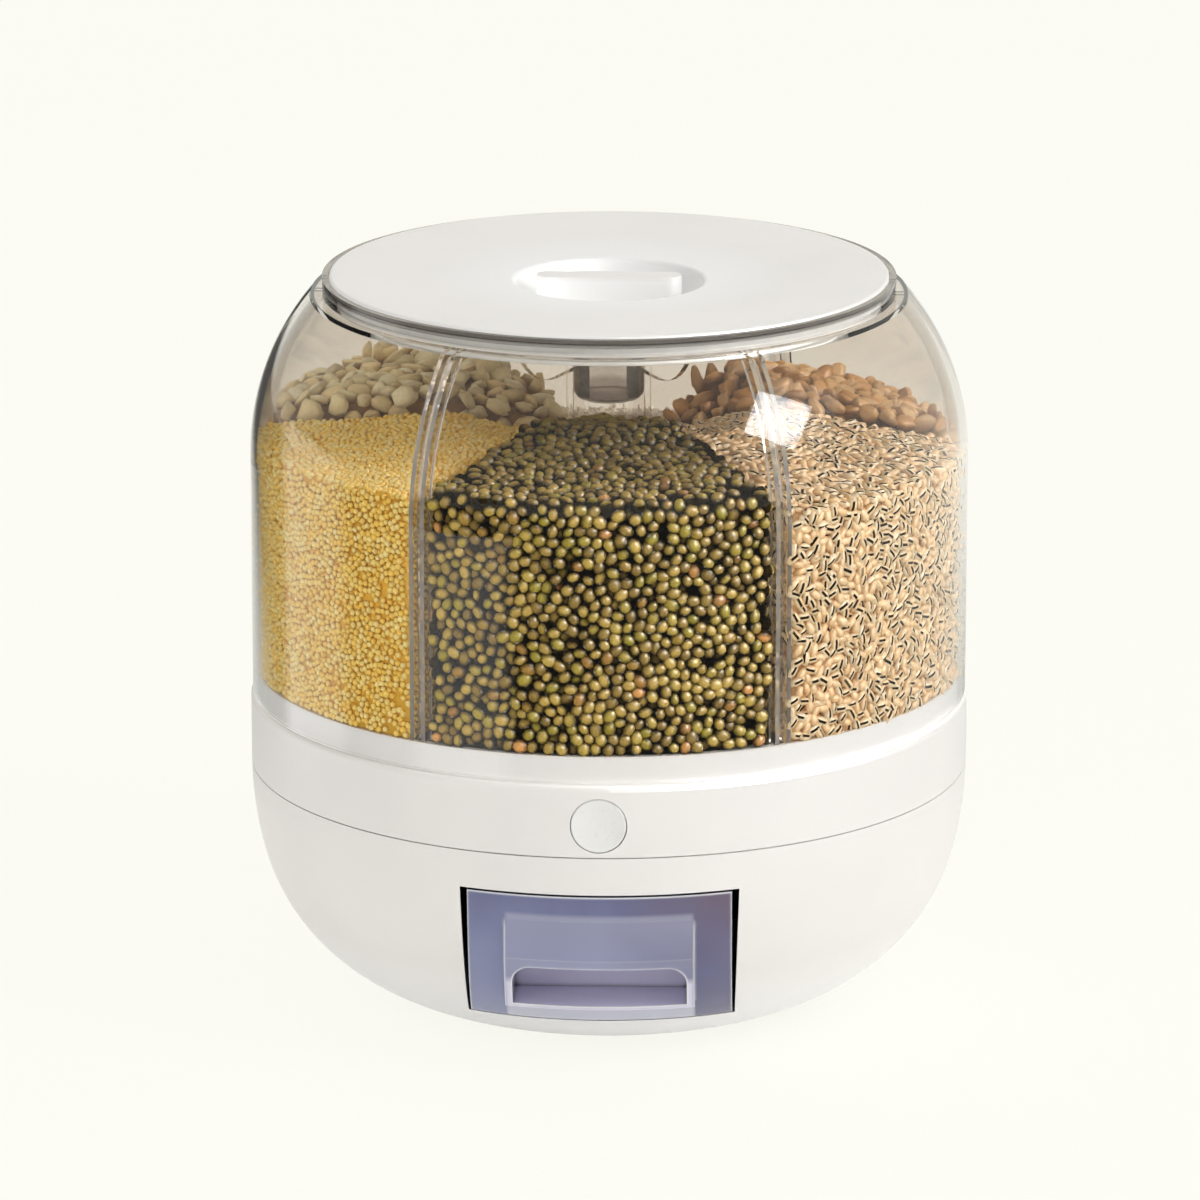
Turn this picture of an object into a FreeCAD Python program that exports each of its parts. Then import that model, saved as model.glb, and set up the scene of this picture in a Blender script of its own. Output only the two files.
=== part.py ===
"""Rotating grain dispenser: a clear barrel of six compartments that turns on a white base.

Millimetres, +Z up, the front faces -Y, and the table is at z = 0 under the middle of the base.
The barrel's dividers stand at every 60 degrees from +X, so one compartment faces the front.
"""
import FreeCAD, Part
import math
import os
import re

import Sketcher

# Driving sizes, in millimetres unless the name says otherwise
SIZES = {
    # Base: a bowl that closes on a flat foot, with an upright band above its seam
    "base_radius": 115,
    "seam_z": 77,
    "band_height": 23,
    "bowl_side_radius": 108,
    "bowl_corner_radius": 64,
    "base_wall": 2.5,
    "seam_gap": 0.4,
    "lip_depth": 4.2,
    "lip_wall": 1.7,
    "lip_clearance": 0.2,
    "deck_plate": 3,
    "deck_edge_round": 1.6,
    "foot_height": 1,
    "foot_radius": 7,
    "foot_recess": 1.2,
    "foot_offset": 27,
    # Posts and screws that close the base
    "post_offset": 60,
    "post_front": 30,
    "post_rear": 38,
    "post_radius": 5,
    "post_top_z": 30,
    "post_wall": 8,
    "boss_radius": 4.5,
    "screw_radius": 1.5,
    "screw_head_radius": 3.2,
    "screw_head": 2.4,
    "screw_length": 20,
    "screw_gap": 0.3,
    "cross_long": 0.55,
    "cross_thin": 0.14,
    "thread_gap": 0.03,
    "clear_margin": 20,
    # Drawer bay and measuring cup
    "bay_bottom_z": 16.5,
    "bay_top_z": 65,
    "bay_side_gap": 0.8,
    "bay_flare": 1.5,
    "bay_cut_margin": 1,
    "cup_half": 41,
    "cup_back": 24,
    "cup_wall": 2,
    "cup_rise": 0.4,
    "cup_top_gap": 0.7,
    "cup_corner": 6,
    "cup_rim_drop": 3,
    "cup_rim_inset": 13,
    "rail_gap": 1.2,
    "rail_wall": 2,
    "rail_top_z": 28,
    "ledge_width": 6,
    "ledge_thick": 2.2,
    "bay_stop_gap": 2,
    "frame_gap": 0.1,
    "pull_half": 29.5,
    "pull_side_wall": 2.4,
    "pull_proud": 4.6,
    "pull_top_z": 57.5,
    "pull_lip_z": 40.5,
    "pull_lip_rise": 3,
    "pull_sill": 1.5,
    "pull_floor_z": 26,
    "pull_inset": 30,
    "pull_corner": 6,
    # Push button
    "button_drop": 12.5,
    "button_radius": 8.6,
    "button_gap": 0.25,
    "button_length": 18,
    "button_wall": 1.8,
    "button_dish": 1.2,
    "button_set_in": 0.3,
    "button_edge_round": 0.5,
    "button_travel": 10,
    "tube_wall": 1.5,
    "tube_length": 9.5,
    "stem_radius": 3,
    "stem_gap": 0.1,
    "stem_tail": 2.5,
    "clip_radius": 5.2,
    "clip_thick": 0.8,
    # Outlet, its slide gate and the chute below
    "outlet_inset": 41,
    "outlet_depth": 8.5,
    "outlet_half": 23,
    "seal_thick": 1.2,
    "seal_width": 2.4,
    "gate_gap": 0.2,
    "gate_thick": 2.4,
    "gate_half": 27,
    "gate_tail": 24,
    "tang_thick": 2.5,
    "tang_half": 9,
    "tang_drop": 7.5,
    "cover_thick": 2.2,
    "cover_wall": 2.4,
    "cover_side_gap": 0.6,
    "cover_lead": 8.5,
    "spring_length": 20,
    "chute_wall": 1.6,
    "chute_gap": 3,
    "tab_reach": 9,
    "tab_half": 5,
    "tab_thick": 2.4,
    "tab_front_set": 6,
    "tab_rear_set": 36,
    "tab_screw_radius": 1.2,
    "tab_screw_head_radius": 2.6,
    "tab_screw_head": 1.6,
    "tab_screw_bite": 2,
    # Return springs of the gate
    "spring_radius": 2.1,
    "spring_wire": 0.8,
    "spring_offset": 17,
    "spring_pin_radius": 1.4,
    "spring_pin": 4,
    "spring_end_gap": 0.1,
    # Spindle and bearing ring that carry the barrel
    "spindle_radius": 7,
    "spindle_fit": 0.02,
    "spindle_flange_radius": 12,
    "spindle_flange": 3,
    "bearing_fit": 0.05,
    "washer_radius": 10,
    "washer_thick": 1.2,
    "washer_gap": 0.3,
    "pivot_screw_radius": 2,
    "pivot_screw_head_radius": 4,
    "pivot_screw_head": 2.6,
    "pivot_screw_length": 14,
    "glide_inset": 17.5,
    "glide_width": 4,
    "glide_thick": 1.9,
    "glide_recess": 0.8,
    "glide_gap": 0.2,
    # Clear barrel
    "barrel_step": 0.6,
    "barrel_wall": 2.4,
    "barrel_bottom_gap": 0.8,
    "upright_height": 77.3,
    "dome_radius": 80,
    "dome_rise": 52.7,
    "neck_set_in": 3.6,
    "neck_height": 5.2,
    "neck_wall": 2,
    "ledge_drop": 1.8,
    "ledge_reach": 2.6,
    "collar_wall": 2.2,
    "collar_depth": 7.1,
    "rib_height": 4,
    "rib_thick": 1.5,
    "rib_sink": 0.6,
    # Floor of the barrel
    "tray_gap": 0.2,
    "tray_rim_rise": 9,
    "tray_rim_wall": 2.3,
    "tray_plate": 2.2,
    "tray_low_rise": 3.6,
    "tray_low_half": 9,
    "tray_edge_rise": 7.6,
    "tray_crown_rise": 18.6,
    "collar_gap": 0.3,
    "track_margin": 0.8,
    "outlet_collar_wall": 1.5,
    "tray_boss_rise": 24.2,
    # Divider with its hub
    "vane_thick": 2,
    "vane_gap": 0.2,
    "vane_top_gap": 0.3,
    "hub_radius": 13.5,
    "hub_wall": 2,
    "saddle_depth": 18,
    "saddle_radius": 33,
    "saddle_round": 24,
    "plug_gap": 0.2,
    "plug_depth": 13,
    "plug_wall": 1.4,
    "plug_flange": 1.2,
    "plug_round": 3,
    # Lid
    "lid_proud": 0.8,
    "lid_plate": 2.4,
    "lid_side_gap": 0.3,
    "lid_rest_gap": 0.2,
    "lid_edge_round": 1.1,
    "lid_dish": 2.4,
    "lid_flat_rim": 3,
    "well_radius": 30,
    "well_floor_radius": 24,
    "well_depth": 14,
    "well_round": 1.5,
    "grip_half": 4.5,
    "grip_long": 18.5,
    "grip_drop": 1,
    "grip_wall": 2,
    "skirt_gap": 1.2,
    "skirt_wall": 2.4,
    "skirt_bottom_gap": 0.3,
    "lid_seal_drop": 4,
    "lid_seal_height": 2.4,
    "lid_seal_reach": 0.9,
    "lid_seal_root": 1.2,
    "seal_lip": 0.6,
    # Grain
    "grain_gap": 0.3,
    "grain_peak_radius": 52,
    # How high each compartment's grain stands at the hub, at its peak and at the wall
    "mung_bean_hub_rise": 93,
    "mung_bean_peak_rise": 100,
    "mung_bean_wall_rise": 90,
    "millet_hub_rise": 84,
    "millet_peak_rise": 92,
    "millet_wall_rise": 87,
    "rolled_oat_hub_rise": 86,
    "rolled_oat_peak_rise": 94,
    "rolled_oat_wall_rise": 83,
    "broad_bean_hub_rise": 88,
    "broad_bean_peak_rise": 97,
    "broad_bean_wall_rise": 93,
    "cashew_hub_rise": 76,
    "cashew_peak_rise": 98,
    "cashew_wall_rise": 85,
    "rice_hub_rise": 74,
    "rice_peak_rise": 76,
    "rice_wall_rise": 64,
}

# Places and sizes worked out from the driving sizes
PLACES = {
    # The bowl's side is one arc and its corner a smaller one, tangent to it and to the foot
    "side_centre": "base_radius - bowl_side_radius",
    "tilt_sine": "(seam_z - foot_height - bowl_corner_radius) / (bowl_side_radius - bowl_corner_radius)",
    "tilt_cosine": "sqrt(1 - tilt_sine^2)",
    "corner_centre": "side_centre + (bowl_side_radius - bowl_corner_radius) * tilt_cosine",
    # Base
    "deck_z": "seam_z + band_height",
    "deck_under": "deck_z - deck_plate",
    "rail_inner": "cup_half + rail_gap",
    "bay_bottom_half": "cup_half + bay_side_gap",
    "bay_top_half": "bay_bottom_half + bay_flare",
    "cup_low": "bay_bottom_z + cup_rise",
    "cup_high": "bay_top_z - cup_top_gap",
    "pull_depth": "base_radius - pull_inset",
    # Button, gate and chute
    "outlet_centre": "base_radius - outlet_inset",
    "button_z": "deck_z - button_drop",
    "tang_front": "base_radius - button_length",
    "tang_rear": "tang_front - tang_thick",
    "tang_bottom_z": "button_z - tang_drop",
    "outlet_near": "-outlet_centre - outlet_depth / 2",
    "outlet_far": "-outlet_centre + outlet_depth / 2",
    "gate_top": "deck_under - seal_thick - gate_gap",
    "gate_rear": "outlet_centre - gate_tail",
    "cover_floor": "gate_top - gate_thick - gate_gap",
    "cover_half": "gate_half + cover_side_gap + cover_wall",
    "cover_front": "outlet_centre + cover_lead",
    "chute_bottom_z": "bay_top_z + chute_gap",
    "tab_front": "outlet_centre - tab_front_set",
    "tab_rear": "outlet_centre - tab_rear_set",
    "spring_stop": "gate_rear - spring_length",
    "spring_z": "gate_top - gate_thick / 2",
    # Barrel, its floor and its divider
    "barrel_radius": "base_radius - barrel_step",
    "barrel_inner": "barrel_radius - barrel_wall",
    "glide_inner": "barrel_radius - glide_inset",
    "dome_start_z": "deck_z + upright_height",
    "dome_centre": "barrel_radius - dome_radius",
    "dome_inner": "dome_radius - barrel_wall",
    "shoulder_z": "dome_start_z + dome_rise",
    "shoulder_under": "shoulder_z - barrel_wall",
    "neck_radius": "dome_centre + sqrt(dome_radius^2 - dome_rise^2) - neck_set_in",
    "neck_rim_z": "shoulder_z + neck_height",
    "neck_inner": "neck_radius - neck_wall",
    "lid_ledge_z": "neck_rim_z - ledge_drop",
    "collar_inner": "neck_inner - ledge_reach",
    "collar_bottom_z": "lid_ledge_z - collar_depth",
    "tray_rim_z": "deck_z + tray_rim_rise",
    "tray_low_z": "deck_z + tray_low_rise",
    "tray_edge_z": "deck_z + tray_edge_rise",
    "tray_crown_z": "deck_z + tray_crown_rise",
    "tray_boss_top_z": "deck_z + tray_boss_rise",
    "tray_low_inner": "outlet_centre - tray_low_half",
    "tray_low_outer": "outlet_centre + tray_low_half",
    "rim_outer": "barrel_inner - tray_gap",
    "rim_inner": "rim_outer - tray_rim_wall",
    "spindle_top": "tray_boss_top_z + washer_gap",
    "hub_inner": "hub_radius - hub_wall",
    "hub_boss_radius": "hub_inner - plug_gap",
    "vane_top": "collar_bottom_z - vane_top_gap",
    "hub_top_z": "vane_top - saddle_depth",
    # Lid
    "lid_top_z": "neck_rim_z + lid_proud",
    "lid_radius": "neck_inner - lid_side_gap",
    "skirt_outer": "collar_inner - skirt_gap",
    "lid_seal_z": "lid_ledge_z - lid_seal_drop",
    "well_floor_z": "lid_top_z - well_depth",
    "grip_top_z": "lid_top_z - grip_drop",
    # Grain: its sides stand clear of the vanes and their guide ribs
    "grain_side": "vane_thick / 2 + vane_gap + rib_thick + grain_gap",
    # Far enough to be clear of the whole part
    "beyond": "base_radius + clear_margin",
}

# The compartments' grain, counter-clockwise from the one between +X and +60 degrees
GRAINS = ("cashew", "rice", "broad_bean", "millet", "mung_bean", "rolled_oat")

document = FreeCAD.newDocument("RotatingGrainDispenser")
sheet = document.addObject("Spreadsheet::Sheet", "Sizes")
for row, (alias, number) in enumerate(SIZES.items(), start=1):
    sheet.set(f"A{row}", alias)
    sheet.set(f"B{row}", str(number))
    sheet.setAlias(f"B{row}", alias)
document.recompute()


def bound(text):
    """The expression with each worked-out place written in full, down to the sheet's cells."""

    def in_full(found):
        word = found[0]
        if word in PLACES:
            return "(" + bound(PLACES[word]) + ")"
        return "Sizes." + word if word in SIZES else word

    return re.sub(r"[a-z][a-z_0-9]*", in_full, text)


def value(text):
    """What an expression is worth now, in millimetres."""
    return float(sheet.evalExpression(bound(text)))


def bind(thing, prop, text):
    """Ties a property of a document object to an expression of the sheet's sizes."""
    thing.setExpression(prop, bound(text))


def arc_between(start, end, radius, turn):
    """The arc from start to end that turns left or right, and whether it runs start to end."""
    middle = ((start[0] + end[0]) / 2, (start[1] + end[1]) / 2)
    along = (end[0] - start[0], end[1] - start[1])
    chord = math.hypot(*along)
    rise = math.sqrt(max(radius**2 - chord**2 / 4, 0)) / chord
    side = 1 if turn == "left" else -1
    centre = (middle[0] - side * along[1] * rise, middle[1] + side * along[0] * rise)
    first, last = (start, end) if side > 0 else (end, start)
    angles = [math.atan2(spot[1] - centre[1], spot[0] - centre[0]) for spot in (first, last)]
    circle = Part.Circle(FreeCAD.Vector(*centre, 0), FreeCAD.Vector(0, 0, 1), radius)
    return Part.ArcOfCircle(circle, *angles), side > 0


def outline(sketch, corners):
    """A closed outline whose corners are tied to the sheet.

    A corner is (x, y), reached by a straight edge, or (x, y, radius, turn), reached by an arc.
    """
    spots = [(value(corner[0]), value(corner[1])) for corner in corners]
    edges = []
    for number, corner in enumerate(corners):
        start, end = spots[number - 1], spots[number]
        if len(corner) == 2:
            line = Part.LineSegment(FreeCAD.Vector(*start, 0), FreeCAD.Vector(*end, 0))
            edges.append((sketch.addGeometry(line), 1, 2))
            continue
        arc, forward = arc_between(start, end, value(corner[2]), corner[3])
        edge = sketch.addGeometry(arc)
        edges.append((edge, 1, 2) if forward else (edge, 2, 1))
        place = sketch.addConstraint(Sketcher.Constraint("Radius", edge, value(corner[2])))
        bind(sketch, f"Constraints[{place}]", corner[2])
    for number, corner in enumerate(corners):
        edge, _, last = edges[number]
        following, first, _ = edges[(number + 1) % len(edges)]
        sketch.addConstraint(Sketcher.Constraint("Coincident", edge, last, following, first))
        for kind, text, now in zip(("DistanceX", "DistanceY"), corner, spots[number]):
            place = sketch.addConstraint(Sketcher.Constraint(kind, -1, 1, edge, last, now))
            bind(sketch, f"Constraints[{place}]", text)


def circle(sketch, across, along, radius):
    """A circle tied to the sheet."""
    centre = FreeCAD.Vector(value(across), value(along), 0)
    ring = sketch.addGeometry(Part.Circle(centre, FreeCAD.Vector(0, 0, 1), value(radius)))
    for kind, text in (("DistanceX", across), ("DistanceY", along)):
        place = sketch.addConstraint(Sketcher.Constraint(kind, -1, 1, ring, 3, value(text)))
        bind(sketch, f"Constraints[{place}]", text)
    place = sketch.addConstraint(Sketcher.Constraint("Radius", ring, value(radius)))
    bind(sketch, f"Constraints[{place}]", radius)


def rectangle(sketch, left, right, near, far):
    """A rectangle tied to the sheet."""
    outline(sketch, [(left, near), (right, near), (right, far), (left, far)])


class Piece:
    """One sub-part as a body, built up feature by feature."""

    def __init__(self, label):
        self.body = document.addObject("PartDesign::Body", "Body_" + label)
        self.body.Label = label
        self.count = 0

    def origin(self, role):
        """One of the body's own planes or axes."""
        return next(o for o in self.body.Origin.OriginFeatures if o.Role == role)

    def sketch(self, plane, offset="0", lift="0"):
        """A sketch on one of the body's planes, moved along its normal or lifted in the plane."""
        self.count += 1
        sketch = self.body.newObject("Sketcher::SketchObject", f"{self.body.Label}_Sketch{self.count}")
        sketch.AttachmentSupport = [(self.origin(plane), "")]
        sketch.MapMode = "FlatFace"
        bind(sketch, "AttachmentOffset.Base.z", offset)
        bind(sketch, "AttachmentOffset.Base.y", lift)
        return sketch

    def feature(self, kind, sketch):
        """A feature of the body that reads one sketch."""
        made = self.body.newObject(f"PartDesign::{kind}", f"{self.body.Label}_{kind}{self.count}")
        made.Profile = sketch
        return made

    def turned(self, corners, kind="Revolution"):
        """A full turn about Z of an outline given as radius and height. Groove cuts it."""
        sketch = self.sketch("XZ_Plane")
        outline(sketch, corners)
        made = self.feature(kind, sketch)
        made.ReferenceAxis = (sketch, ["V_Axis"])
        made.Angle = 360
        document.recompute()
        return made

    def turned_along_y(self, corners, height):
        """A full turn about a level line along Y of an outline given as Y and radius."""
        sketch = self.sketch("YZ_Plane", lift=height)
        outline(sketch, corners)
        made = self.feature("Revolution", sketch)
        made.ReferenceAxis = (sketch, ["H_Axis"])
        made.Angle = 360
        document.recompute()
        return made

    def raised(self, sketch, length, midplane=False, backwards=False):
        """A pad along the sketch's normal."""
        made = self.feature("Pad", sketch)
        bind(made, "Length", length)
        made.Midplane = midplane
        made.Reversed = backwards
        document.recompute()
        return made

    def sunk(self, sketch, length, onwards=False):
        """A pocket against the sketch's normal, or along it when onwards is set."""
        before = self.body.Shape.Volume
        made = self.feature("Pocket", sketch)
        bind(made, "Length", length)
        made.Reversed = onwards
        document.recompute()
        if self.body.Shape.Volume >= before:
            raise RuntimeError(f"a pocket of {self.body.Label} cuts nothing")
        return made

    def around(self, features, count):
        """Copies of features at equal steps about Z."""
        made = self.body.newObject("PartDesign::PolarPattern", f"{self.body.Label}_Pattern{self.count}")
        made.Originals = features
        made.Axis = (self.origin("Z_Axis"), [""])
        made.Angle = 360
        made.Occurrences = count
        self.body.Tip = made
        document.recompute()
        return made


def bowl_joint(inset):
    """Where the bowl's two arcs meet, on a surface a wall's thickness inside the outer one."""
    radius = f"(bowl_side_radius - ({inset}))"
    return f"side_centre + {radius} * tilt_cosine", f"seam_z - {radius} * tilt_sine"


def bowl_side(inset, height):
    """The radius of the bowl at a height on its side arc."""
    square = f"(bowl_side_radius - ({inset}))^2 - (seam_z - ({height}))^2"
    return f"side_centre + sqrt({square})"


def bowl_corner(inset, height):
    """The radius of the bowl at a height on its corner arc."""
    drop = f"(foot_height + bowl_corner_radius - ({height}))"
    return f"corner_centre + sqrt((bowl_corner_radius - ({inset}))^2 - {drop}^2)"


def bowl_slice(inset, low, high):
    """The outline of a slice of the bowl's round form between two heights."""
    return [
        ("0", low),
        (bowl_corner(inset, low), low),
        (*bowl_joint(inset), f"bowl_corner_radius - ({inset})", "left"),
        (bowl_side(inset, high), high, f"bowl_side_radius - ({inset})", "left"),
        ("0", high),
    ]


# The half sizes of a cross recess, as shares of its screw head's radius
CROSS = (("cross_long", "cross_thin"), ("cross_thin", "cross_long"))

SIDES = ("1", "-1")
POSTS = [(f"{side} * post_offset", along) for side in SIDES for along in ("-post_front", "post_rear")]
FEET = [(f"{side} * foot_offset", f"{end} * foot_offset") for side in SIDES for end in SIDES]
TABS = [
    (f"{side} * (cover_half + tab_reach / 2)", along)
    for side in SIDES
    for along in ("-tab_front", "-tab_rear")
]


def dome(inset, height):
    """The radius of the barrel's dome at a height, on a surface inside the outer one."""
    return f"dome_centre + sqrt((dome_radius - ({inset}))^2 - (({height}) - dome_start_z)^2)"


def make_base_bowl():
    """The white bowl: four screw posts inside, the drawer's opening in front."""
    piece = Piece("base_bowl")
    posts = piece.sketch("XY_Plane", "foot_height")
    for across, along in POSTS:
        circle(posts, across, along, "post_radius")
    piece.raised(posts, "post_top_z - foot_height")
    middle = bowl_joint("base_wall / 2")
    under = "foot_height + base_wall / 2"
    piece.turned(
        [
            ("corner_centre", under, "bowl_corner_radius - base_wall / 2", "right"),
            ("0", under),
            ("0", "-clear_margin"),
            ("beyond", "-clear_margin"),
            ("beyond", "seam_z"),
            ("base_radius - base_wall / 2", "seam_z"),
            (*middle, "bowl_side_radius - base_wall / 2", "right"),
        ],
        "Groove",
    )
    piece.turned(
        [
            ("0", "foot_height"),
            ("corner_centre", "foot_height"),
            (*bowl_joint("0"), "bowl_corner_radius", "left"),
            ("base_radius", "seam_z", "bowl_side_radius", "left"),
            ("base_radius - base_wall", "seam_z"),
            (*bowl_joint("base_wall"), "bowl_side_radius - base_wall", "right"),
            ("corner_centre", "foot_height + base_wall", "bowl_corner_radius - base_wall", "right"),
            ("0", "foot_height + base_wall"),
        ]
    )
    opening = piece.sketch("XZ_Plane", "beyond")
    outline(
        opening,
        [
            ("-bay_bottom_half", "bay_bottom_z"),
            ("bay_bottom_half", "bay_bottom_z"),
            ("bay_top_half", "bay_top_z"),
            ("-bay_top_half", "bay_top_z"),
        ],
    )
    corner = f"sqrt(({bowl_corner('base_wall', 'bay_bottom_z')})^2 - bay_bottom_half^2)"
    piece.sunk(opening, f"beyond - {corner} + bay_cut_margin")
    heads = piece.sketch("XY_Plane", "0")
    for across, along in POSTS:
        circle(heads, across, along, "screw_head_radius + screw_gap")
    piece.sunk(heads, "post_top_z - post_wall", onwards=True)
    holes = piece.sketch("XY_Plane", "0")
    for across, along in POSTS:
        circle(holes, across, along, "screw_radius + screw_gap")
    piece.sunk(holes, "post_top_z + clear_margin", onwards=True)
    feet = piece.sketch("XY_Plane", "0")
    for across, along in FEET:
        circle(feet, across, along, "foot_radius + thread_gap")
    piece.sunk(feet, "foot_height + foot_recess", onwards=True)


def make_drawer_frame():
    """The drawer's frame on the bowl's floor: two rails with ledges, and a stop behind."""
    piece = Piece("drawer_frame")
    front = "-base_radius"
    stop = "-cup_back + bay_stop_gap"
    outer = "rail_inner + rail_wall"
    rails = piece.sketch("XY_Plane", "foot_height")
    outline(
        rails,
        [
            (f"-({outer})", front),
            ("-rail_inner", front),
            ("-rail_inner", stop),
            ("rail_inner", stop),
            ("rail_inner", front),
            (outer, front),
            (outer, f"{stop} + rail_wall"),
            (f"-({outer})", f"{stop} + rail_wall"),
        ],
    )
    piece.raised(rails, "rail_top_z - foot_height")
    for side in SIDES:
        edges = (f"{side} * (rail_inner + rail_wall / 2)", f"{side} * (rail_inner - ledge_width)")
        ledge = piece.sketch("XY_Plane", "bay_bottom_z")
        rectangle(ledge, *sorted(edges, key=value), front, f"{stop} + rail_wall / 2")
        piece.raised(ledge, "ledge_thick", backwards=True)
    inset = "base_wall + frame_gap"
    middle = bowl_joint(inset)
    under = f"foot_height + {inset}"
    piece.turned(
        [
            ("corner_centre", under, f"bowl_corner_radius - ({inset})", "right"),
            ("0", under),
            ("0", "-clear_margin"),
            ("beyond", "-clear_margin"),
            ("beyond", "seam_z"),
            (f"base_radius - ({inset})", "seam_z"),
            (*middle, f"bowl_side_radius - ({inset})", "right"),
        ],
        "Groove",
    )


def make_rubber_feet():
    """Four rubber pads, let into the bowl's flat foot."""
    piece = Piece("rubber_feet")
    pads = piece.sketch("XY_Plane", "0")
    for across, along in FEET:
        circle(pads, across, along, "foot_radius")
    piece.raised(pads, "foot_height + foot_recess")


def make_top_deck():
    """The base's upper band and its deck: button tube, outlet, screw bosses, ring groove."""
    piece = Piece("top_deck")
    lip_outer = "base_radius - base_wall - lip_clearance"
    lip_inner = f"{lip_outer} - lip_wall"
    groove_inner = "glide_inner - thread_gap"
    groove_outer = "glide_inner + glide_width + thread_gap"
    piece.turned(
        [
            ("spindle_radius + spindle_fit", "deck_under"),
            ("spindle_radius + spindle_fit", "deck_z"),
            (groove_inner, "deck_z"),
            (groove_inner, "deck_z - glide_recess"),
            (groove_outer, "deck_z - glide_recess"),
            (groove_outer, "deck_z"),
            ("base_radius - deck_edge_round", "deck_z"),
            ("base_radius", "deck_z - deck_edge_round", "deck_edge_round", "right"),
            ("base_radius", "seam_z + seam_gap"),
            (lip_outer, "seam_z + seam_gap"),
            (lip_outer, "seam_z - lip_depth"),
            (lip_inner, "seam_z - lip_depth"),
            (lip_inner, "seam_z + seam_gap + lip_wall"),
            ("base_radius - base_wall", "seam_z + seam_gap + 2 * lip_wall"),
            ("base_radius - base_wall", "deck_under"),
        ]
    )
    bosses = piece.sketch("XY_Plane", "deck_under")
    for across, along in POSTS:
        circle(bosses, across, along, "boss_radius")
    piece.raised(bosses, "deck_under - post_top_z", backwards=True)
    tube = piece.sketch("XZ_Plane", "base_radius - base_wall + lip_clearance")
    circle(tube, "0", "button_z", "button_radius + button_gap + tube_wall")
    piece.raised(tube, "tube_length + lip_clearance", backwards=True)
    bore = piece.sketch("XZ_Plane", "beyond")
    circle(bore, "0", "button_z", "button_radius + button_gap")
    piece.sunk(bore, "beyond - base_radius + base_wall + tube_length + thread_gap")
    outlet = piece.sketch("XY_Plane", "deck_z")
    rectangle(outlet, "-outlet_half", "outlet_half", "outlet_near", "outlet_far")
    piece.sunk(outlet, "deck_plate + seal_thick")
    pilots = piece.sketch("XY_Plane", "post_top_z")
    for across, along in POSTS:
        circle(pilots, across, along, "screw_radius + thread_gap")
    piece.sunk(pilots, "screw_length - post_wall + screw_gap", onwards=True)
    small = piece.sketch("XY_Plane", "deck_under")
    for across, along in TABS:
        circle(small, across, along, "tab_screw_radius + thread_gap")
    piece.sunk(small, "tab_screw_bite + screw_gap", onwards=True)


def make_screws(label, places, seat_z, head_radius, head, shank_radius, length):
    """Screws whose heads face down at one height, with a cross recess in each head."""
    piece = Piece(label)
    heads = piece.sketch("XY_Plane", seat_z)
    for across, along in places:
        circle(heads, across, along, head_radius)
    piece.raised(heads, head, backwards=True)
    shanks = piece.sketch("XY_Plane", seat_z)
    for across, along in places:
        circle(shanks, across, along, shank_radius)
    piece.raised(shanks, length)
    for wide, deep in CROSS:
        recess = piece.sketch("XY_Plane", f"{seat_z} - {head}")
        for across, along in places:
            rectangle(
                recess,
                f"{across} - {wide} * {head_radius}",
                f"{across} + {wide} * {head_radius}",
                f"{along} - {deep} * {head_radius}",
                f"{along} + {deep} * {head_radius}",
            )
        piece.sunk(recess, f"{head} / 2", onwards=True)


def make_outlet_seal():
    """The silicone frame under the deck's outlet, which the gate slides beneath."""
    piece = Piece("outlet_seal")
    frame = piece.sketch("XY_Plane", "deck_under")
    rectangle(
        frame,
        "-outlet_half - seal_width",
        "outlet_half + seal_width",
        "outlet_near - seal_width",
        "outlet_far + seal_width",
    )
    rectangle(
        frame,
        "-outlet_half - gate_gap",
        "outlet_half + gate_gap",
        "outlet_near - gate_gap",
        "outlet_far + gate_gap",
    )
    piece.raised(frame, "seal_thick", backwards=True)


def make_outlet_gate():
    """The slide that shuts the outlet: a window ahead of it, a tang for the button's stem."""
    piece = Piece("outlet_gate")
    plate = piece.sketch("XY_Plane", "gate_top")
    rectangle(plate, "-gate_half", "gate_half", "-tang_front", "-gate_rear")
    rectangle(
        plate,
        "-outlet_half",
        "outlet_half",
        "outlet_near - button_travel",
        "outlet_far - button_travel",
    )
    piece.raised(plate, "gate_thick", backwards=True)
    tang = piece.sketch("XY_Plane", "gate_top")
    rectangle(tang, "-tang_half", "tang_half", "-tang_front", "-tang_rear")
    piece.raised(tang, "gate_top - tang_bottom_z", backwards=True)
    hole = piece.sketch("XZ_Plane", "beyond")
    circle(hole, "0", "button_z", "stem_radius + stem_gap")
    piece.sunk(hole, "beyond - tang_rear + gate_gap")
    pins = piece.sketch("XZ_Plane", "gate_rear")
    for side in SIDES:
        circle(pins, f"{side} * spring_offset", "spring_z", "spring_pin_radius")
    piece.raised(pins, "spring_pin", backwards=True)


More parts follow.
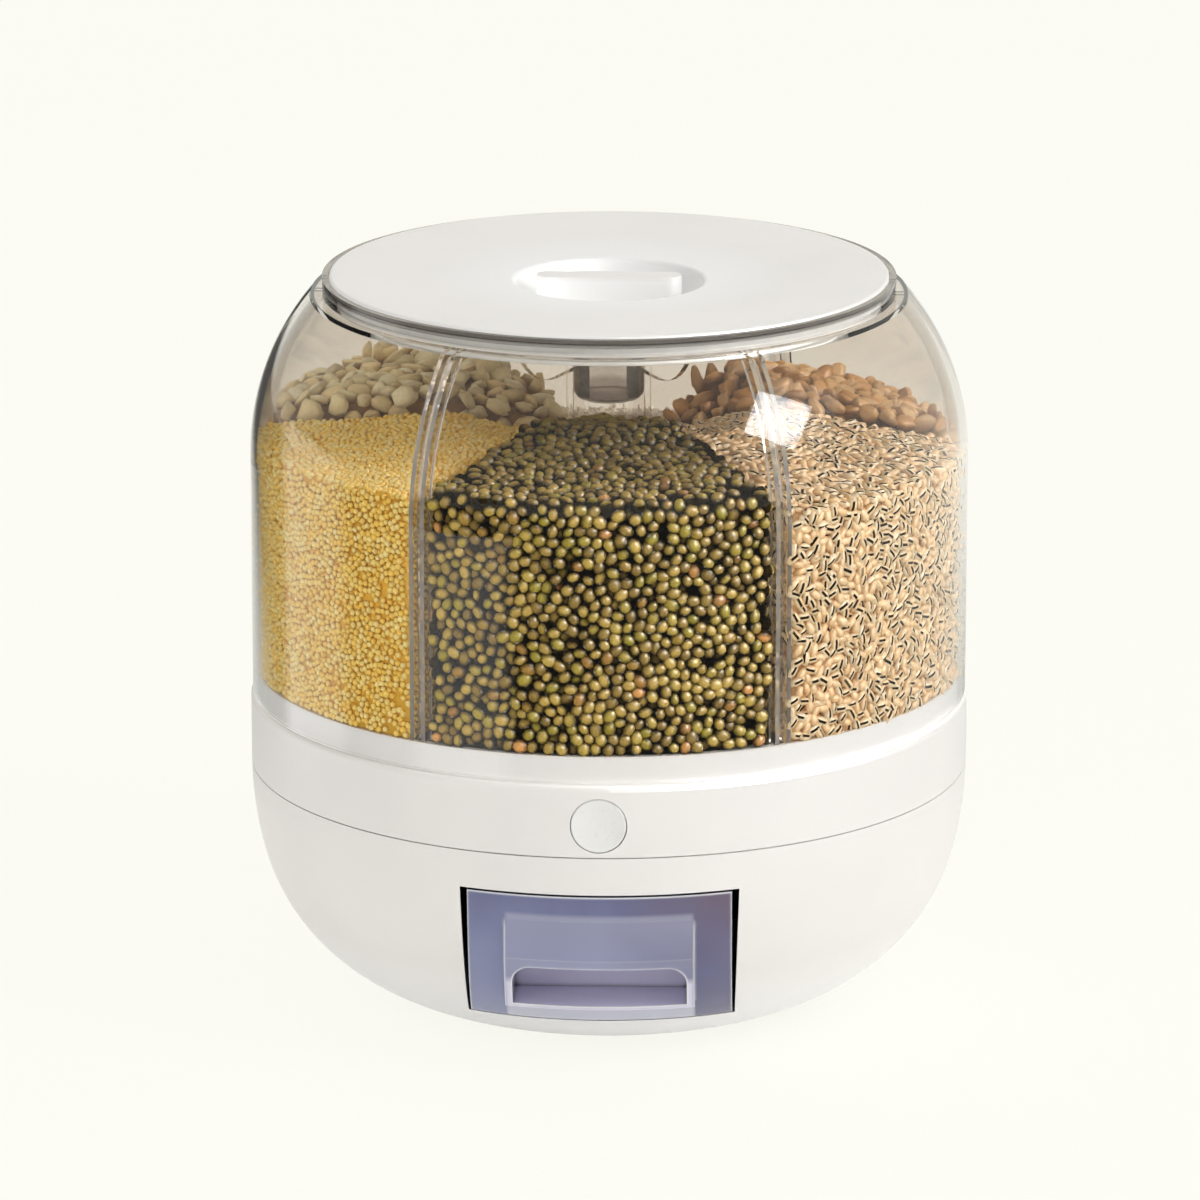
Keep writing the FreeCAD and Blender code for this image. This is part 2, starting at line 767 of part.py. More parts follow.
def make_gate_cover():
    """The carrier under the gate: side walls, the springs' stop, screw tabs and the chute."""
    piece = Piece("gate_cover")
    inner_half = "gate_half + cover_side_gap"
    block = piece.sketch("XY_Plane", "deck_under")
    rectangle(block, "-cover_half", "cover_half", "-cover_front", "-spring_stop + cover_wall")
    piece.raised(block, "deck_under - cover_floor + cover_thick", backwards=True)
    tabs = piece.sketch("XY_Plane", "deck_under")
    for side in SIDES:
        for along in ("-tab_front", "-tab_rear"):
            edges = (f"{side} * (cover_half - cover_wall / 2)", f"{side} * (cover_half + tab_reach)")
            rectangle(tabs, *sorted(edges, key=value), f"{along} - tab_half", f"{along} + tab_half")
    piece.raised(tabs, "tab_thick", backwards=True)
    channel = piece.sketch("XY_Plane", "deck_under")
    rectangle(
        channel, f"-({inner_half})", inner_half, "-cover_front - clear_margin", "-spring_stop"
    )
    piece.sunk(channel, "deck_under - cover_floor")
    chute = piece.sketch("XY_Plane", "cover_floor - cover_thick / 2")
    rectangle(
        chute,
        "-outlet_half - gate_gap - chute_wall",
        "outlet_half + gate_gap + chute_wall",
        "outlet_near - gate_gap - chute_wall",
        "outlet_far + gate_gap + chute_wall",
    )
    piece.raised(chute, "cover_floor - cover_thick / 2 - chute_bottom_z", backwards=True)
    throat = piece.sketch("XY_Plane", "deck_under")
    rectangle(
        throat,
        "-outlet_half - gate_gap",
        "outlet_half + gate_gap",
        "outlet_near - gate_gap",
        "outlet_far + gate_gap",
    )
    piece.sunk(throat, "deck_under - chute_bottom_z + clear_margin")
    slots = piece.sketch("XY_Plane", "cover_floor")
    slot_half = "(spring_radius + spring_wire)"
    for side in SIDES:
        edges = (f"{side} * spring_offset - {slot_half}", f"{side} * spring_offset + {slot_half}")
        rectangle(slots, *sorted(edges, key=value), "-gate_rear", "-spring_stop")
    piece.sunk(slots, "cover_thick + gate_gap")
    holes = piece.sketch("XY_Plane", "deck_under")
    for across, along in TABS:
        circle(holes, across, along, "tab_screw_radius + screw_gap")
    piece.sunk(holes, "tab_thick + gate_gap")
    pins = piece.sketch("XZ_Plane", "spring_stop")
    for side in SIDES:
        circle(pins, f"{side} * spring_offset", "spring_z", "spring_pin_radius")
    piece.raised(pins, "spring_pin")


def make_gate_springs():
    """The two return springs, as plain sleeves of the coils' outer and inner size."""
    piece = Piece("gate_springs")
    rings = piece.sketch("XZ_Plane", "gate_rear - spring_end_gap")
    for side in SIDES:
        for edge in ("spring_radius + spring_wire / 2", "spring_radius - spring_wire / 2"):
            circle(rings, f"{side} * spring_offset", "spring_z", edge)
    piece.raised(rings, "spring_length - 2 * spring_end_gap", backwards=True)


def make_push_button():
    """The round push button: a dished hollow cap with a stem through the gate's tang."""
    piece = Piece("push_button")
    face = "-base_radius + button_set_in"
    dish = "((button_radius - button_edge_round)^2 + button_dish^2) / (2 * button_dish)"
    behind = f"{face} + button_dish + button_wall"
    piece.turned_along_y(
        [
            (f"{face} + button_dish", "0"),
            (face, "button_radius - button_edge_round", dish, "left"),
            (f"{face} + button_edge_round", "button_radius", "button_edge_round", "right"),
            ("-tang_front", "button_radius"),
            ("-tang_front", "button_radius - button_wall"),
            (behind, "button_radius - button_wall"),
            (behind, "stem_radius"),
            ("-tang_rear + stem_tail", "stem_radius"),
            ("-tang_rear + stem_tail", "0"),
        ],
        "button_z",
    )


def make_button_clip():
    """The push-on washer that keeps the button's stem in the tang."""
    piece = Piece("button_clip")
    piece.turned_along_y(
        [
            ("-tang_rear", "stem_radius + thread_gap"),
            ("-tang_rear", "clip_radius"),
            ("-tang_rear + clip_thick", "clip_radius"),
            ("-tang_rear + clip_thick", "stem_radius + thread_gap"),
        ],
        "button_z",
    )


def make_spindle():
    """The post that the barrel turns on, pressed through the deck from below."""
    piece = Piece("spindle")
    piece.turned(
        [
            ("0", "deck_under - spindle_flange"),
            ("spindle_flange_radius", "deck_under - spindle_flange"),
            ("spindle_flange_radius", "deck_under"),
            ("spindle_radius", "deck_under"),
            ("spindle_radius", "spindle_top"),
            ("0", "spindle_top"),
        ]
    )
    pilot = piece.sketch("XY_Plane", "spindle_top")
    circle(pilot, "0", "0", "pivot_screw_radius + thread_gap")
    piece.sunk(pilot, "pivot_screw_length")


def make_pivot_washer():
    """The washer that holds the barrel down, with a running gap above its boss."""
    Piece("pivot_washer").turned(
        [
            ("pivot_screw_radius + thread_gap", "spindle_top"),
            ("washer_radius", "spindle_top"),
            ("washer_radius", "spindle_top + washer_thick"),
            ("pivot_screw_radius + thread_gap", "spindle_top + washer_thick"),
        ]
    )


def make_pivot_screw():
    """The screw in the top of the spindle."""
    piece = Piece("pivot_screw")
    seat = "spindle_top + washer_thick"
    piece.turned(
        [
            ("0", f"{seat} - pivot_screw_length"),
            ("pivot_screw_radius", f"{seat} - pivot_screw_length"),
            ("pivot_screw_radius", seat),
            ("pivot_screw_head_radius", seat),
            ("pivot_screw_head_radius", f"{seat} + pivot_screw_head / 2"),
            ("pivot_screw_head_radius / 2", f"{seat} + pivot_screw_head"),
            ("0", f"{seat} + pivot_screw_head"),
        ]
    )
    for wide, deep in CROSS:
        recess = piece.sketch("XY_Plane", f"{seat} + pivot_screw_head")
        across, along = f"{wide} * pivot_screw_head_radius", f"{deep} * pivot_screw_head_radius"
        rectangle(recess, f"-{across}", across, f"-{along}", along)
        piece.sunk(recess, "pivot_screw_head / 2")


def make_glide_ring():
    """The low-friction ring in the deck's groove, which the barrel's floor rides on."""
    low = "deck_z - glide_recess"
    Piece("glide_ring").turned(
        [
            ("glide_inner", low),
            ("glide_inner + glide_width", low),
            ("glide_inner + glide_width", f"{low} + glide_thick"),
            ("glide_inner", f"{low} + glide_thick"),
        ]
    )


def make_floor_tray():
    """The barrel's white floor: it falls to a low ring that holds an outlet per compartment."""
    piece = Piece("floor_tray")
    slope = "((tray_edge_z - tray_low_z) / (rim_inner - tray_low_outer))"
    track_inner = "(glide_inner - track_margin)"
    track_outer = "(glide_inner + glide_width + track_margin)"
    track_z = "deck_z - glide_recess + glide_thick + glide_gap"
    low = "tray_low_z - tray_plate"

    def under(radius):
        return f"{low} + ({radius} - tray_low_outer) * {slope}"

    piece.turned(
        [
            ("spindle_radius + bearing_fit", "deck_z + collar_gap"),
            ("hub_boss_radius", "deck_z + collar_gap"),
            ("hub_boss_radius", "tray_crown_z - tray_plate"),
            ("tray_low_inner", low),
            ("tray_low_outer", low),
            (track_inner, under(track_inner)),
            (track_inner, track_z),
            (track_outer, track_z),
            (track_outer, under(track_outer)),
            ("rim_inner", under("rim_inner")),
            ("rim_inner", "deck_z + barrel_bottom_gap"),
            ("rim_outer", "deck_z + barrel_bottom_gap"),
            ("rim_outer", "tray_rim_z"),
            ("rim_inner", "tray_rim_z"),
            ("rim_inner", "tray_edge_z"),
            ("tray_low_outer", "tray_low_z"),
            ("tray_low_inner", "tray_low_z"),
            ("hub_radius", "tray_crown_z"),
            ("hub_boss_radius", "tray_crown_z"),
            ("hub_boss_radius", "tray_boss_top_z"),
            ("spindle_radius + bearing_fit", "tray_boss_top_z"),
        ]
    )
    collar = piece.sketch("XY_Plane", "tray_low_z - tray_plate / 2")
    rectangle(
        collar,
        "-outlet_half - outlet_collar_wall",
        "outlet_half + outlet_collar_wall",
        "outlet_near - outlet_collar_wall",
        "outlet_far + outlet_collar_wall",
    )
    collars = piece.raised(
        collar, "tray_low_z - tray_plate / 2 - deck_z - collar_gap", backwards=True
    )
    outlet = piece.sketch("XY_Plane", "tray_crown_z")
    rectangle(outlet, "-outlet_half", "outlet_half", "outlet_near", "outlet_far")
    outlets = piece.sunk(outlet, "tray_crown_z - deck_z")
    piece.around([collars, outlets], len(GRAINS))


def make_clear_barrel():
    """The clear shell with its dome, neck and collar, and a pair of guide ribs per divider."""
    piece = Piece("clear_barrel")
    piece.turned(
        [
            ("barrel_inner", "deck_z + barrel_bottom_gap"),
            ("barrel_radius", "deck_z + barrel_bottom_gap"),
            ("barrel_radius", "dome_start_z"),
            (dome("0", "shoulder_z"), "shoulder_z", "dome_radius", "left"),
            ("neck_radius", "shoulder_z"),
            ("neck_radius", "neck_rim_z"),
            ("neck_inner", "neck_rim_z"),
            ("neck_inner", "lid_ledge_z"),
            ("collar_inner", "lid_ledge_z"),
            ("collar_inner", "collar_bottom_z"),
            ("collar_inner + collar_wall", "collar_bottom_z"),
            ("collar_inner + collar_wall", "shoulder_under"),
            (dome("barrel_wall", "shoulder_under"), "shoulder_under"),
            ("barrel_inner", "dome_start_z", "dome_inner", "right"),
        ]
    )
    rib_top = "(shoulder_under + rib_sink / 2)"
    ribs = []
    for side in SIDES:
        sketch = piece.sketch("XZ_Plane", f"{side} * (vane_thick / 2 + vane_gap)")
        outline(
            sketch,
            [
                ("barrel_inner - rib_height", "tray_rim_z + grain_gap"),
                ("barrel_inner + rib_sink", "tray_rim_z + grain_gap"),
                ("barrel_inner + rib_sink", "dome_start_z"),
                (dome("barrel_wall - rib_sink", rib_top), rib_top, "dome_inner + rib_sink", "left"),
                (dome("barrel_wall + rib_height", rib_top), rib_top),
                (
                    "barrel_inner - rib_height",
                    "dome_start_z",
                    "dome_inner - rib_height",
                    "right",
                ),
            ],
        )
        ribs.append(piece.raised(sketch, "rib_thick", backwards=side == "-1"))
    piece.around(ribs, len(GRAINS))


def make_divider():
    """The clear insert: six upright vanes on a hollow hub, low over the hub to clear the lid."""
    piece = Piece("divider")
    floor = "tray_crown_z + vane_gap"
    piece.turned(
        [
            ("hub_inner", floor),
            ("hub_radius", floor),
            ("hub_radius", "hub_top_z"),
            ("hub_inner", "hub_top_z"),
        ]
    )
    rise = "(vane_top - hub_top_z)"
    sweep = f"sqrt(saddle_round^2 - (saddle_round - {rise})^2)"
    vane = piece.sketch("XZ_Plane")
    outline(
        vane,
        [
            ("hub_radius - hub_wall / 2", floor),
            ("hub_radius", floor),
            ("tray_low_inner", "tray_low_z + vane_gap"),
            ("tray_low_outer", "tray_low_z + vane_gap"),
            ("rim_inner - vane_gap", "tray_edge_z + vane_gap"),
            ("rim_inner - vane_gap", "tray_rim_z + vane_gap"),
            ("barrel_inner - vane_gap", "tray_rim_z + vane_gap"),
            ("barrel_inner - vane_gap", "dome_start_z"),
            (dome("barrel_wall + vane_gap", "vane_top"), "vane_top", "dome_inner - vane_gap", "left"),
            (f"saddle_radius + {sweep}", "vane_top"),
            ("saddle_radius", "hub_top_z", "saddle_round", "right"),
            ("hub_radius - hub_wall / 2", "hub_top_z"),
        ],
    )
    piece.around([piece.raised(vane, "vane_thick", midplane=True)], len(GRAINS))


def make_hub_plug():
    """The clear cup that closes the top of the divider's hub."""
    bottom = "hub_top_z - plug_depth"
    outer = "hub_inner - plug_gap"
    inner = "hub_inner - plug_gap - plug_wall"
    Piece("hub_plug").turned(
        [
            ("0", bottom),
            (f"{outer} - plug_round", bottom),
            (outer, f"{bottom} + plug_round", "plug_round", "left"),
            (outer, "hub_top_z"),
            ("hub_radius", "hub_top_z"),
            ("hub_radius", "hub_top_z + plug_flange"),
            (inner, "hub_top_z + plug_flange"),
            (inner, f"{bottom} + plug_wall"),
            ("0", f"{bottom} + plug_wall"),
        ]
    )


def make_lid():
    """The white lid: a shallow dish, a round finger well with a grip bar, a skirt below."""
    piece = Piece("lid")
    dish_z = "lid_top_z - lid_dish"
    flange = "lid_ledge_z + lid_rest_gap"
    skirt_low = "collar_bottom_z + skirt_bottom_gap"
    skirt_inner = "skirt_outer - skirt_wall"
    groove = "skirt_outer - lid_seal_root"
    piece.turned(
        [
            ("0", "well_floor_z - lid_plate"),
            ("well_floor_radius + lid_plate / 2", "well_floor_z - lid_plate"),
            ("well_radius + lid_plate", f"{dish_z} - lid_plate"),
            (skirt_inner, "lid_top_z - lid_plate"),
            (skirt_inner, skirt_low),
            ("skirt_outer", skirt_low),
            ("skirt_outer", "lid_seal_z"),
            (groove, "lid_seal_z"),
            (groove, "lid_seal_z + lid_seal_height"),
            ("skirt_outer", "lid_seal_z + lid_seal_height"),
            ("skirt_outer", flange),
            ("lid_radius", flange),
            ("lid_radius", "lid_top_z - lid_edge_round"),
            ("lid_radius - lid_edge_round", "lid_top_z", "lid_edge_round", "left"),
            ("lid_radius - lid_flat_rim", "lid_top_z"),
            ("well_radius + well_round", dish_z),
            ("well_radius", f"{dish_z} - well_round", "well_round", "left"),
            ("well_floor_radius", "well_floor_z"),
            ("0", "well_floor_z"),
        ]
    )
    grip = piece.sketch("XY_Plane", "grip_top_z")
    rounded_bar(grip, "grip_long", "grip_half")
    piece.raised(grip, "grip_top_z - well_floor_z + lid_plate / 2", backwards=True)
    hollow = piece.sketch("XY_Plane", "well_floor_z - lid_plate")
    rounded_bar(hollow, "grip_long", "grip_half - grip_wall")
    piece.sunk(hollow, "grip_top_z - grip_wall - well_floor_z + lid_plate", onwards=True)


def rounded_bar(sketch, straight_half, half):
    """A bar across X whose ends are half circles."""
    outline(
        sketch,
        [
            (f"-{straight_half}", f"-({half})", half, "left"),
            (straight_half, f"-({half})"),
            (f"{straight_half} + {half}", "0", half, "left"),
            (straight_half, half, half, "left"),
            (f"-{straight_half}", half),
            (f"-{straight_half} - ({half})", "0", half, "left"),
        ],
    )


def make_lid_seal():
    """The silicone ring in the skirt's groove, with two lips towards the collar."""
    inner = "skirt_outer - lid_seal_root + thread_gap"
    body = "skirt_outer + lid_seal_reach / 3"
    tip = "skirt_outer + lid_seal_reach"
    low = "lid_seal_z + thread_gap"
    high = "lid_seal_z + lid_seal_height - thread_gap"
    Piece("lid_seal").turned(
        [
            (inner, low),
            (tip, low),
            (tip, f"{low} + seal_lip"),
            (body, f"{low} + seal_lip"),
            (body, f"{high} - seal_lip"),
            (tip, f"{high} - seal_lip"),
            (tip, high),
            (inner, high),
        ]
    )


def block_of_bowl(label, slice_corners, half, back, corner):
    """Part of the bowl's round form, cut to a block with two rounded corners at the back."""
    piece = Piece(label)
    piece.turned(slice_corners)
    frame = piece.sketch("XY_Plane", "deck_z")
    rectangle(frame, "-beyond", "beyond", "-beyond", "beyond")
    outline(
        frame,
        [
            (f"-({half})", "-beyond + clear_margin / 4"),
            (half, "-beyond + clear_margin / 4"),
            (half, f"-({back}) - {corner}"),
            (f"{half} - {corner}", f"-({back})", corner, "left"),
            (f"-({half}) + {corner}", f"-({back})"),
            (f"-({half})", f"-({back}) - {corner}", corner, "left"),
        ],
    )
    piece.sunk(frame, "deck_z")
    return piece


def make_measuring_cup():
    """The tinted cup that is also the drawer: flush front, raised pull with a finger pocket."""
    shell = block_of_bowl(
        "cup_block", bowl_slice("0", "cup_low", "cup_high"), "cup_half", "cup_back", "cup_corner"
    )
    rim = shell.sketch("XY_Plane", "cup_high + clear_margin")
    rectangle(rim, "-beyond", "beyond", "cup_rim_inset - base_radius", "beyond")
    shell.sunk(rim, "cup_rim_drop + clear_margin")
    proud = "(-pull_proud)"
    bend = "pull_lip_z + pull_lip_rise"
    pull = block_of_bowl(
        "pull_block",
        [
            ("0", "pull_floor_z - pull_sill"),
            (bowl_corner(proud, "pull_floor_z - pull_sill"), "pull_floor_z - pull_sill"),
            (bowl_corner(proud, bend), bend, "bowl_corner_radius + pull_proud", "left"),
            (bowl_side("cup_wall / 4", "pull_top_z"), "pull_top_z"),
            ("0", "pull_top_z"),
        ],
        "pull_half",
        "pull_depth - cup_wall",
        "cup_wall",
    )
    hollow = block_of_bowl(
        "cup_hollow",
        bowl_slice("cup_wall", "cup_low + cup_wall", "cup_high + cup_wall"),
        "cup_half - cup_wall",
        "cup_back + cup_wall",
        "(cup_corner - cup_wall)",
    )
    pocket_half = "pull_half - pull_side_wall"
    kept = hollow.sketch("XZ_Plane", "beyond")
    rectangle(
        kept,
        f"-({pocket_half}) - cup_wall",
        f"{pocket_half} + cup_wall",
        "0",
        "pull_lip_z + cup_wall",
    )
    hollow.sunk(kept, "beyond - pull_depth + cup_wall")
    pocket = Piece("finger_pocket")
    mouth = pocket.sketch("XZ_Plane", "pull_depth")
    half = f"({pocket_half})"
    outline(
        mouth,
        [
            (f"-{half}", "pull_floor_z"),
            (half, "pull_floor_z"),
            (half, "pull_lip_z - pull_corner"),
            (f"{half} - pull_corner", "pull_lip_z", "pull_corner", "left"),
            (f"-{half} + pull_corner", "pull_lip_z"),
            (f"-{half}", "pull_lip_z - pull_corner", "pull_corner", "left"),
        ],
    )
    pocket.raised(mouth, "beyond - pull_depth")
    solid = document.addObject("Part::MultiFuse", "CupSolid")
    solid.Shapes = [shell.body, pull.body]
    hollowed = document.addObject("Part::Cut", "CupHollowed")
    hollowed.Base, hollowed.Tool = solid, hollow.body
    cup = document.addObject("Part::Cut", "MeasuringCup")
    cup.Base, cup.Tool = hollowed, pocket.body
    cup.Label = "measuring_cup"


def make_grain(kind, place):
    """One compartment's grain as a closed form whose heaped surface is turned about Z."""
    piece = Piece("grain_" + kind)
    hub_z, peak_z, wall_z = (f"deck_z + {kind}_{where}_rise" for where in ("hub", "peak", "wall"))
    piece.turned(
        [
            ("hub_radius + grain_gap", "tray_crown_z + grain_gap"),
            ("tray_low_inner", "tray_low_z + grain_gap"),
            ("tray_low_outer", "tray_low_z + grain_gap"),
            ("rim_inner - grain_gap", "tray_edge_z + grain_gap"),
            ("rim_inner - grain_gap", "tray_rim_z + grain_gap"),
            ("barrel_inner - grain_gap", "tray_rim_z + grain_gap"),
            ("barrel_inner - grain_gap", "dome_start_z"),
            (dome("barrel_wall + grain_gap", wall_z), wall_z, "dome_inner - grain_gap", "left"),
            ("grain_peak_radius", peak_z),
            ("hub_radius + grain_gap", hub_z),
        ]
    )
    half_angle = f"180 / {len(GRAINS)}"
    tip = f"-grain_side / sin({half_angle})"
    side = f"beyond * sin({half_angle})"
    far = f"{tip} - beyond * cos({half_angle})"
    outside = piece.sketch("XY_Plane", "lid_top_z")
    outline(
        outside,
        [
            ("0", tip),
            (side, far),
            ("beyond", far),
            ("beyond", "beyond"),
            ("-beyond", "beyond"),
            ("-beyond", far),
            (f"-{side}", far),
        ],
    )
    piece.sunk(outside, "lid_top_z")
    sector = 360 / len(GRAINS)
    turn = FreeCAD.Rotation(FreeCAD.Vector(0, 0, 1), (place + 0.5) * sector + 90)
    piece.body.Placement = FreeCAD.Placement(FreeCAD.Vector(0, 0, 0), turn)


make_base_bowl()
make_drawer_frame()
make_rubber_feet()
make_top_deck()
make_screws(
    "base_screws",
    POSTS,
    "(post_top_z - post_wall)",
    "screw_head_radius",
    "screw_head",
    "screw_radius",
    "screw_length",
)
make_gate_cover()
make_screws(
    "cover_screws",
    TABS,
    "(deck_under - tab_thick)",
    "tab_screw_head_radius",
    "tab_screw_head",
    "tab_screw_radius",
    "tab_thick + tab_screw_bite",
)
make_outlet_seal()
make_outlet_gate()
make_gate_springs()
make_push_button()
make_button_clip()
make_measuring_cup()
make_spindle()
make_pivot_washer()
make_pivot_screw()
make_glide_ring()
make_floor_tray()
make_clear_barrel()
make_divider()
make_hub_plug()
make_lid()
make_lid_seal()
for place, kind in enumerate(GRAINS):
    make_grain(kind, place)

# The blocks that the measuring cup is cut from are not pieces of their own
BLOCKS = {"cup_block", "pull_block", "cup_hollow", "finger_pocket"}

document.recompute()
for thing in document.Objects:
    if "Invalid" in thing.State or "Error" in thing.State:
        raise RuntimeError(f"{thing.Label} failed: {thing.State}")

pieces = [thing for thing in document.Objects if thing.TypeId == "PartDesign::Body"]
pieces = [thing for thing in pieces if thing.Label not in BLOCKS]
pieces.append(document.getObject("MeasuringCup"))
for piece in pieces:
    if piece.Shape.isNull() or not piece.Shape.isValid() or not piece.Shape.Solids:
        raise RuntimeError(f"{piece.Label} has no valid solid")

os.makedirs("parts", exist_ok=True)
for piece in pieces:
    piece.Shape.exportStep(f"parts/{piece.Label}.step")
    box = piece.Shape.BoundBox
    print(
        f"{piece.Label}: {len(piece.Shape.Solids)} solid, {piece.Shape.Volume / 1000:.2f} cm3,",
        f"z {box.ZMin:.1f} to {box.ZMax:.1f}",
    )
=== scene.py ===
"""Rotating grain dispenser: the dressed model, its stage, its light and its camera.

Metres, +Z up, the front faces -Y, and the table is at z = 0. Lengths in the tables below are
millimetres and are scaled once, where they are read.
"""

import math

import bpy
import numpy as np
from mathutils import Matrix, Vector, kdtree


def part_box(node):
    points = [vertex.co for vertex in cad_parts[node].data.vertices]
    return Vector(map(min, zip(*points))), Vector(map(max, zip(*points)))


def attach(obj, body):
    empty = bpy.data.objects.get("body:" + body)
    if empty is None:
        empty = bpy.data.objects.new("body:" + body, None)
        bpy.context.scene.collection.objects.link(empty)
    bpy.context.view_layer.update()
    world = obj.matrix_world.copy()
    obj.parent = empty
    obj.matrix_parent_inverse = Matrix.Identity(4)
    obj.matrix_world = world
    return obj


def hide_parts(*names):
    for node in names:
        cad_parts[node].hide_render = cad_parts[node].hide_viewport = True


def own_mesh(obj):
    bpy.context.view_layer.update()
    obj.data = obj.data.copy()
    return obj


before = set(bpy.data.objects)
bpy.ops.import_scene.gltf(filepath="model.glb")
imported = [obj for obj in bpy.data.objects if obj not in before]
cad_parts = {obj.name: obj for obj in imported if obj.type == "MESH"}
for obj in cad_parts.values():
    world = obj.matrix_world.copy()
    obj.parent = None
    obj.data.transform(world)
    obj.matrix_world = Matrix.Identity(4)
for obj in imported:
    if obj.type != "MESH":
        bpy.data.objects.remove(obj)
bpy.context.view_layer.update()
MM = 0.001
PHOTO = 1200


# The barrel's inner wall and the arc of its dome
BARREL_INNER = 112.0
DOME_START = 177.3
DOME_INNER = 77.6
DOME_CENTRE = 34.4

# Where the look of a clear piece changes, each as the start and the end of the change in metres:
# heights, and for the ribs their distance from the centre of the dome's arc
DECK_LINE = (0.1085, 0.1095)
DOME_TINT = (0.180, 0.196)
# Near the top of the neck the tint turns darker, then much darker: painted shade under the lid's edge and
# a painted shadow line right below it
NECK_SHADE_START = (0.2300, 0.2305)
NECK_SHADOW_LINE = (0.2325, 0.2335)
RIB_REACH = (0.0738, 0.0746)
RIB_TOP = (0.2240, 0.2250)

# The same for the cup: across the pull, up it, out to the curved front, back into the pocket, and
# up the strip below it
PULL_SIDE = (0.0285, 0.0297)
PULL_TOP = (0.0570, 0.0585)
PULL_RISE = (0.016, 0.054)
FRONT_SKIN = (0.1105, 0.1118)
POCKET_BACK = (-0.084, -0.083)
LOW_STRIP = (0.0225, 0.0245)


# Shader nodes

class Nodes:
    """The node tree of one material or world, built node by node."""

    def __init__(self, owner):
        owner.use_nodes = True
        self.tree = owner.node_tree
        self.tree.nodes.clear()

    def add(self, kind, *feeds, **settings):
        """A node. Feeds are (socket, value or output), settings are the node's own options."""
        node = self.tree.nodes.new(kind)
        for name, setting in settings.items():
            setattr(node, name, setting)
        for socket, feed in feeds:
            into = node.inputs[socket]
            if isinstance(feed, bpy.types.NodeSocket):
                self.tree.links.new(feed, into)
            else:
                into.default_value = feed
        return node

    def math(self, operation, *feeds):
        return self.add("ShaderNodeMath", *enumerate(feeds), operation=operation).outputs[0]

    def product(self, first, *others):
        """Two or more feeds, multiplied in turn."""
        for other in others:
            first = self.math("MULTIPLY", first, other)
        return first

    def diagonal(self, first, second):
        """The length of a diagonal from its two sides."""
        squares = self.math("ADD", self.product(first, first), self.product(second, second))
        return self.math("SQRT", squares)

    def noise(self, scale, detail=3.0, distortion=0.0):
        """Noise over the object's own coordinates."""
        feeds = [("Scale", scale), ("Detail", detail), ("Roughness", 0.55), ("Distortion", distortion)]
        return self.add("ShaderNodeTexNoise", *feeds, ("Vector", self.place())).outputs["Fac"]

    def place(self):
        """The point in the object's own coordinates."""
        return self.add("ShaderNodeTexCoord").outputs["Object"]

    def axes(self, vector):
        """The X, Y and Z of a vector."""
        return self.add("ShaderNodeSeparateXYZ", (0, vector)).outputs

    def ramp(self, feed, *stops):
        """A colour ramp whose stops are (place, colour)."""
        node = self.add("ShaderNodeValToRGB", ("Fac", feed))
        elements = node.color_ramp.elements
        while len(elements) < len(stops):
            elements.new(0.5)
        for element, (place, colour) in zip(elements, stops):
            element.position = place
            element.color = (*colour, 1)
        return node.outputs["Color"]

    def span(self, feed, low, high, start, end):
        """The feed from start to end, as a number from low to high."""
        feeds = zip(("Value", "From Min", "From Max", "To Min", "To Max"), (feed, start, end, low, high))
        return self.add("ShaderNodeMapRange", *feeds).outputs["Result"]

    def rise(self, feed, change):
        """0 before the change and 1 after it."""
        return self.span(feed, 0.0, 1.0, *change)

    def fall(self, feed, change):
        """1 before the change and 0 after it."""
        return self.span(feed, 1.0, 0.0, *change)

    def mix(self, share, first, second):
        """One colour over another."""
        node = self.add("ShaderNodeMix", data_type="RGBA")
        for socket, feed in ((0, share), (6, first), (7, second)):
            if isinstance(feed, bpy.types.NodeSocket):
                self.tree.links.new(feed, node.inputs[socket])
            else:
                node.inputs[socket].default_value = feed if socket == 0 else (*feed, 1)
        return node.outputs[2]

    def blend(self, share, first, second):
        """One shader over another."""
        return self.add("ShaderNodeMixShader", (0, share), (1, first), (2, second)).outputs[0]

    def bump(self, height, strength, distance):
        feeds = (("Height", height), ("Strength", strength), ("Distance", distance))
        return self.add("ShaderNodeBump", *feeds).outputs["Normal"]

    def finish(self, shader, kind="ShaderNodeOutputMaterial"):
        self.tree.links.new(shader, self.add(kind).inputs["Surface"])


def moulded(name, light, dark, rough=(0.34, 0.46), sheen=0.0, painted_light=None):
    """Opaque moulded plastic: slow changes of tone, flow marks, and a fine satin surface."""
    made = bpy.data.materials.new(name)
    nodes = Nodes(made)
    slow = nodes.noise(14.0, detail=2.0)
    flow = nodes.noise(55.0, detail=4.0, distortion=0.6)
    tone = nodes.ramp(slow, (0.36, dark), (0.62, light))
    tone = nodes.mix(nodes.span(flow, 0.0, 0.10, 0.45, 0.75), tone, dark)
    # Paler below a given height: painted light low on the part, where it faces down or lies in a hollow
    if painted_light:
        start, end, pale = painted_light
        height = nodes.axes(nodes.place())["Z"]
        tone = nodes.mix(nodes.rise(height, (start, end)), tone, pale)
    fine = nodes.noise(2600.0, detail=2.0)
    specks = nodes.noise(900.0, detail=2.0)
    surface = nodes.add(
        "ShaderNodeBsdfPrincipled",
        ("Base Color", tone),
        ("Roughness", nodes.span(specks, *rough, 0.3, 0.7)),
        ("Specular IOR Level", 0.5),
        ("Coat Weight", sheen),
        ("Coat Roughness", 0.12),
        ("Normal", nodes.bump(fine, 0.35, 0.00004)),
    )
    nodes.finish(surface.outputs[0])
    return made


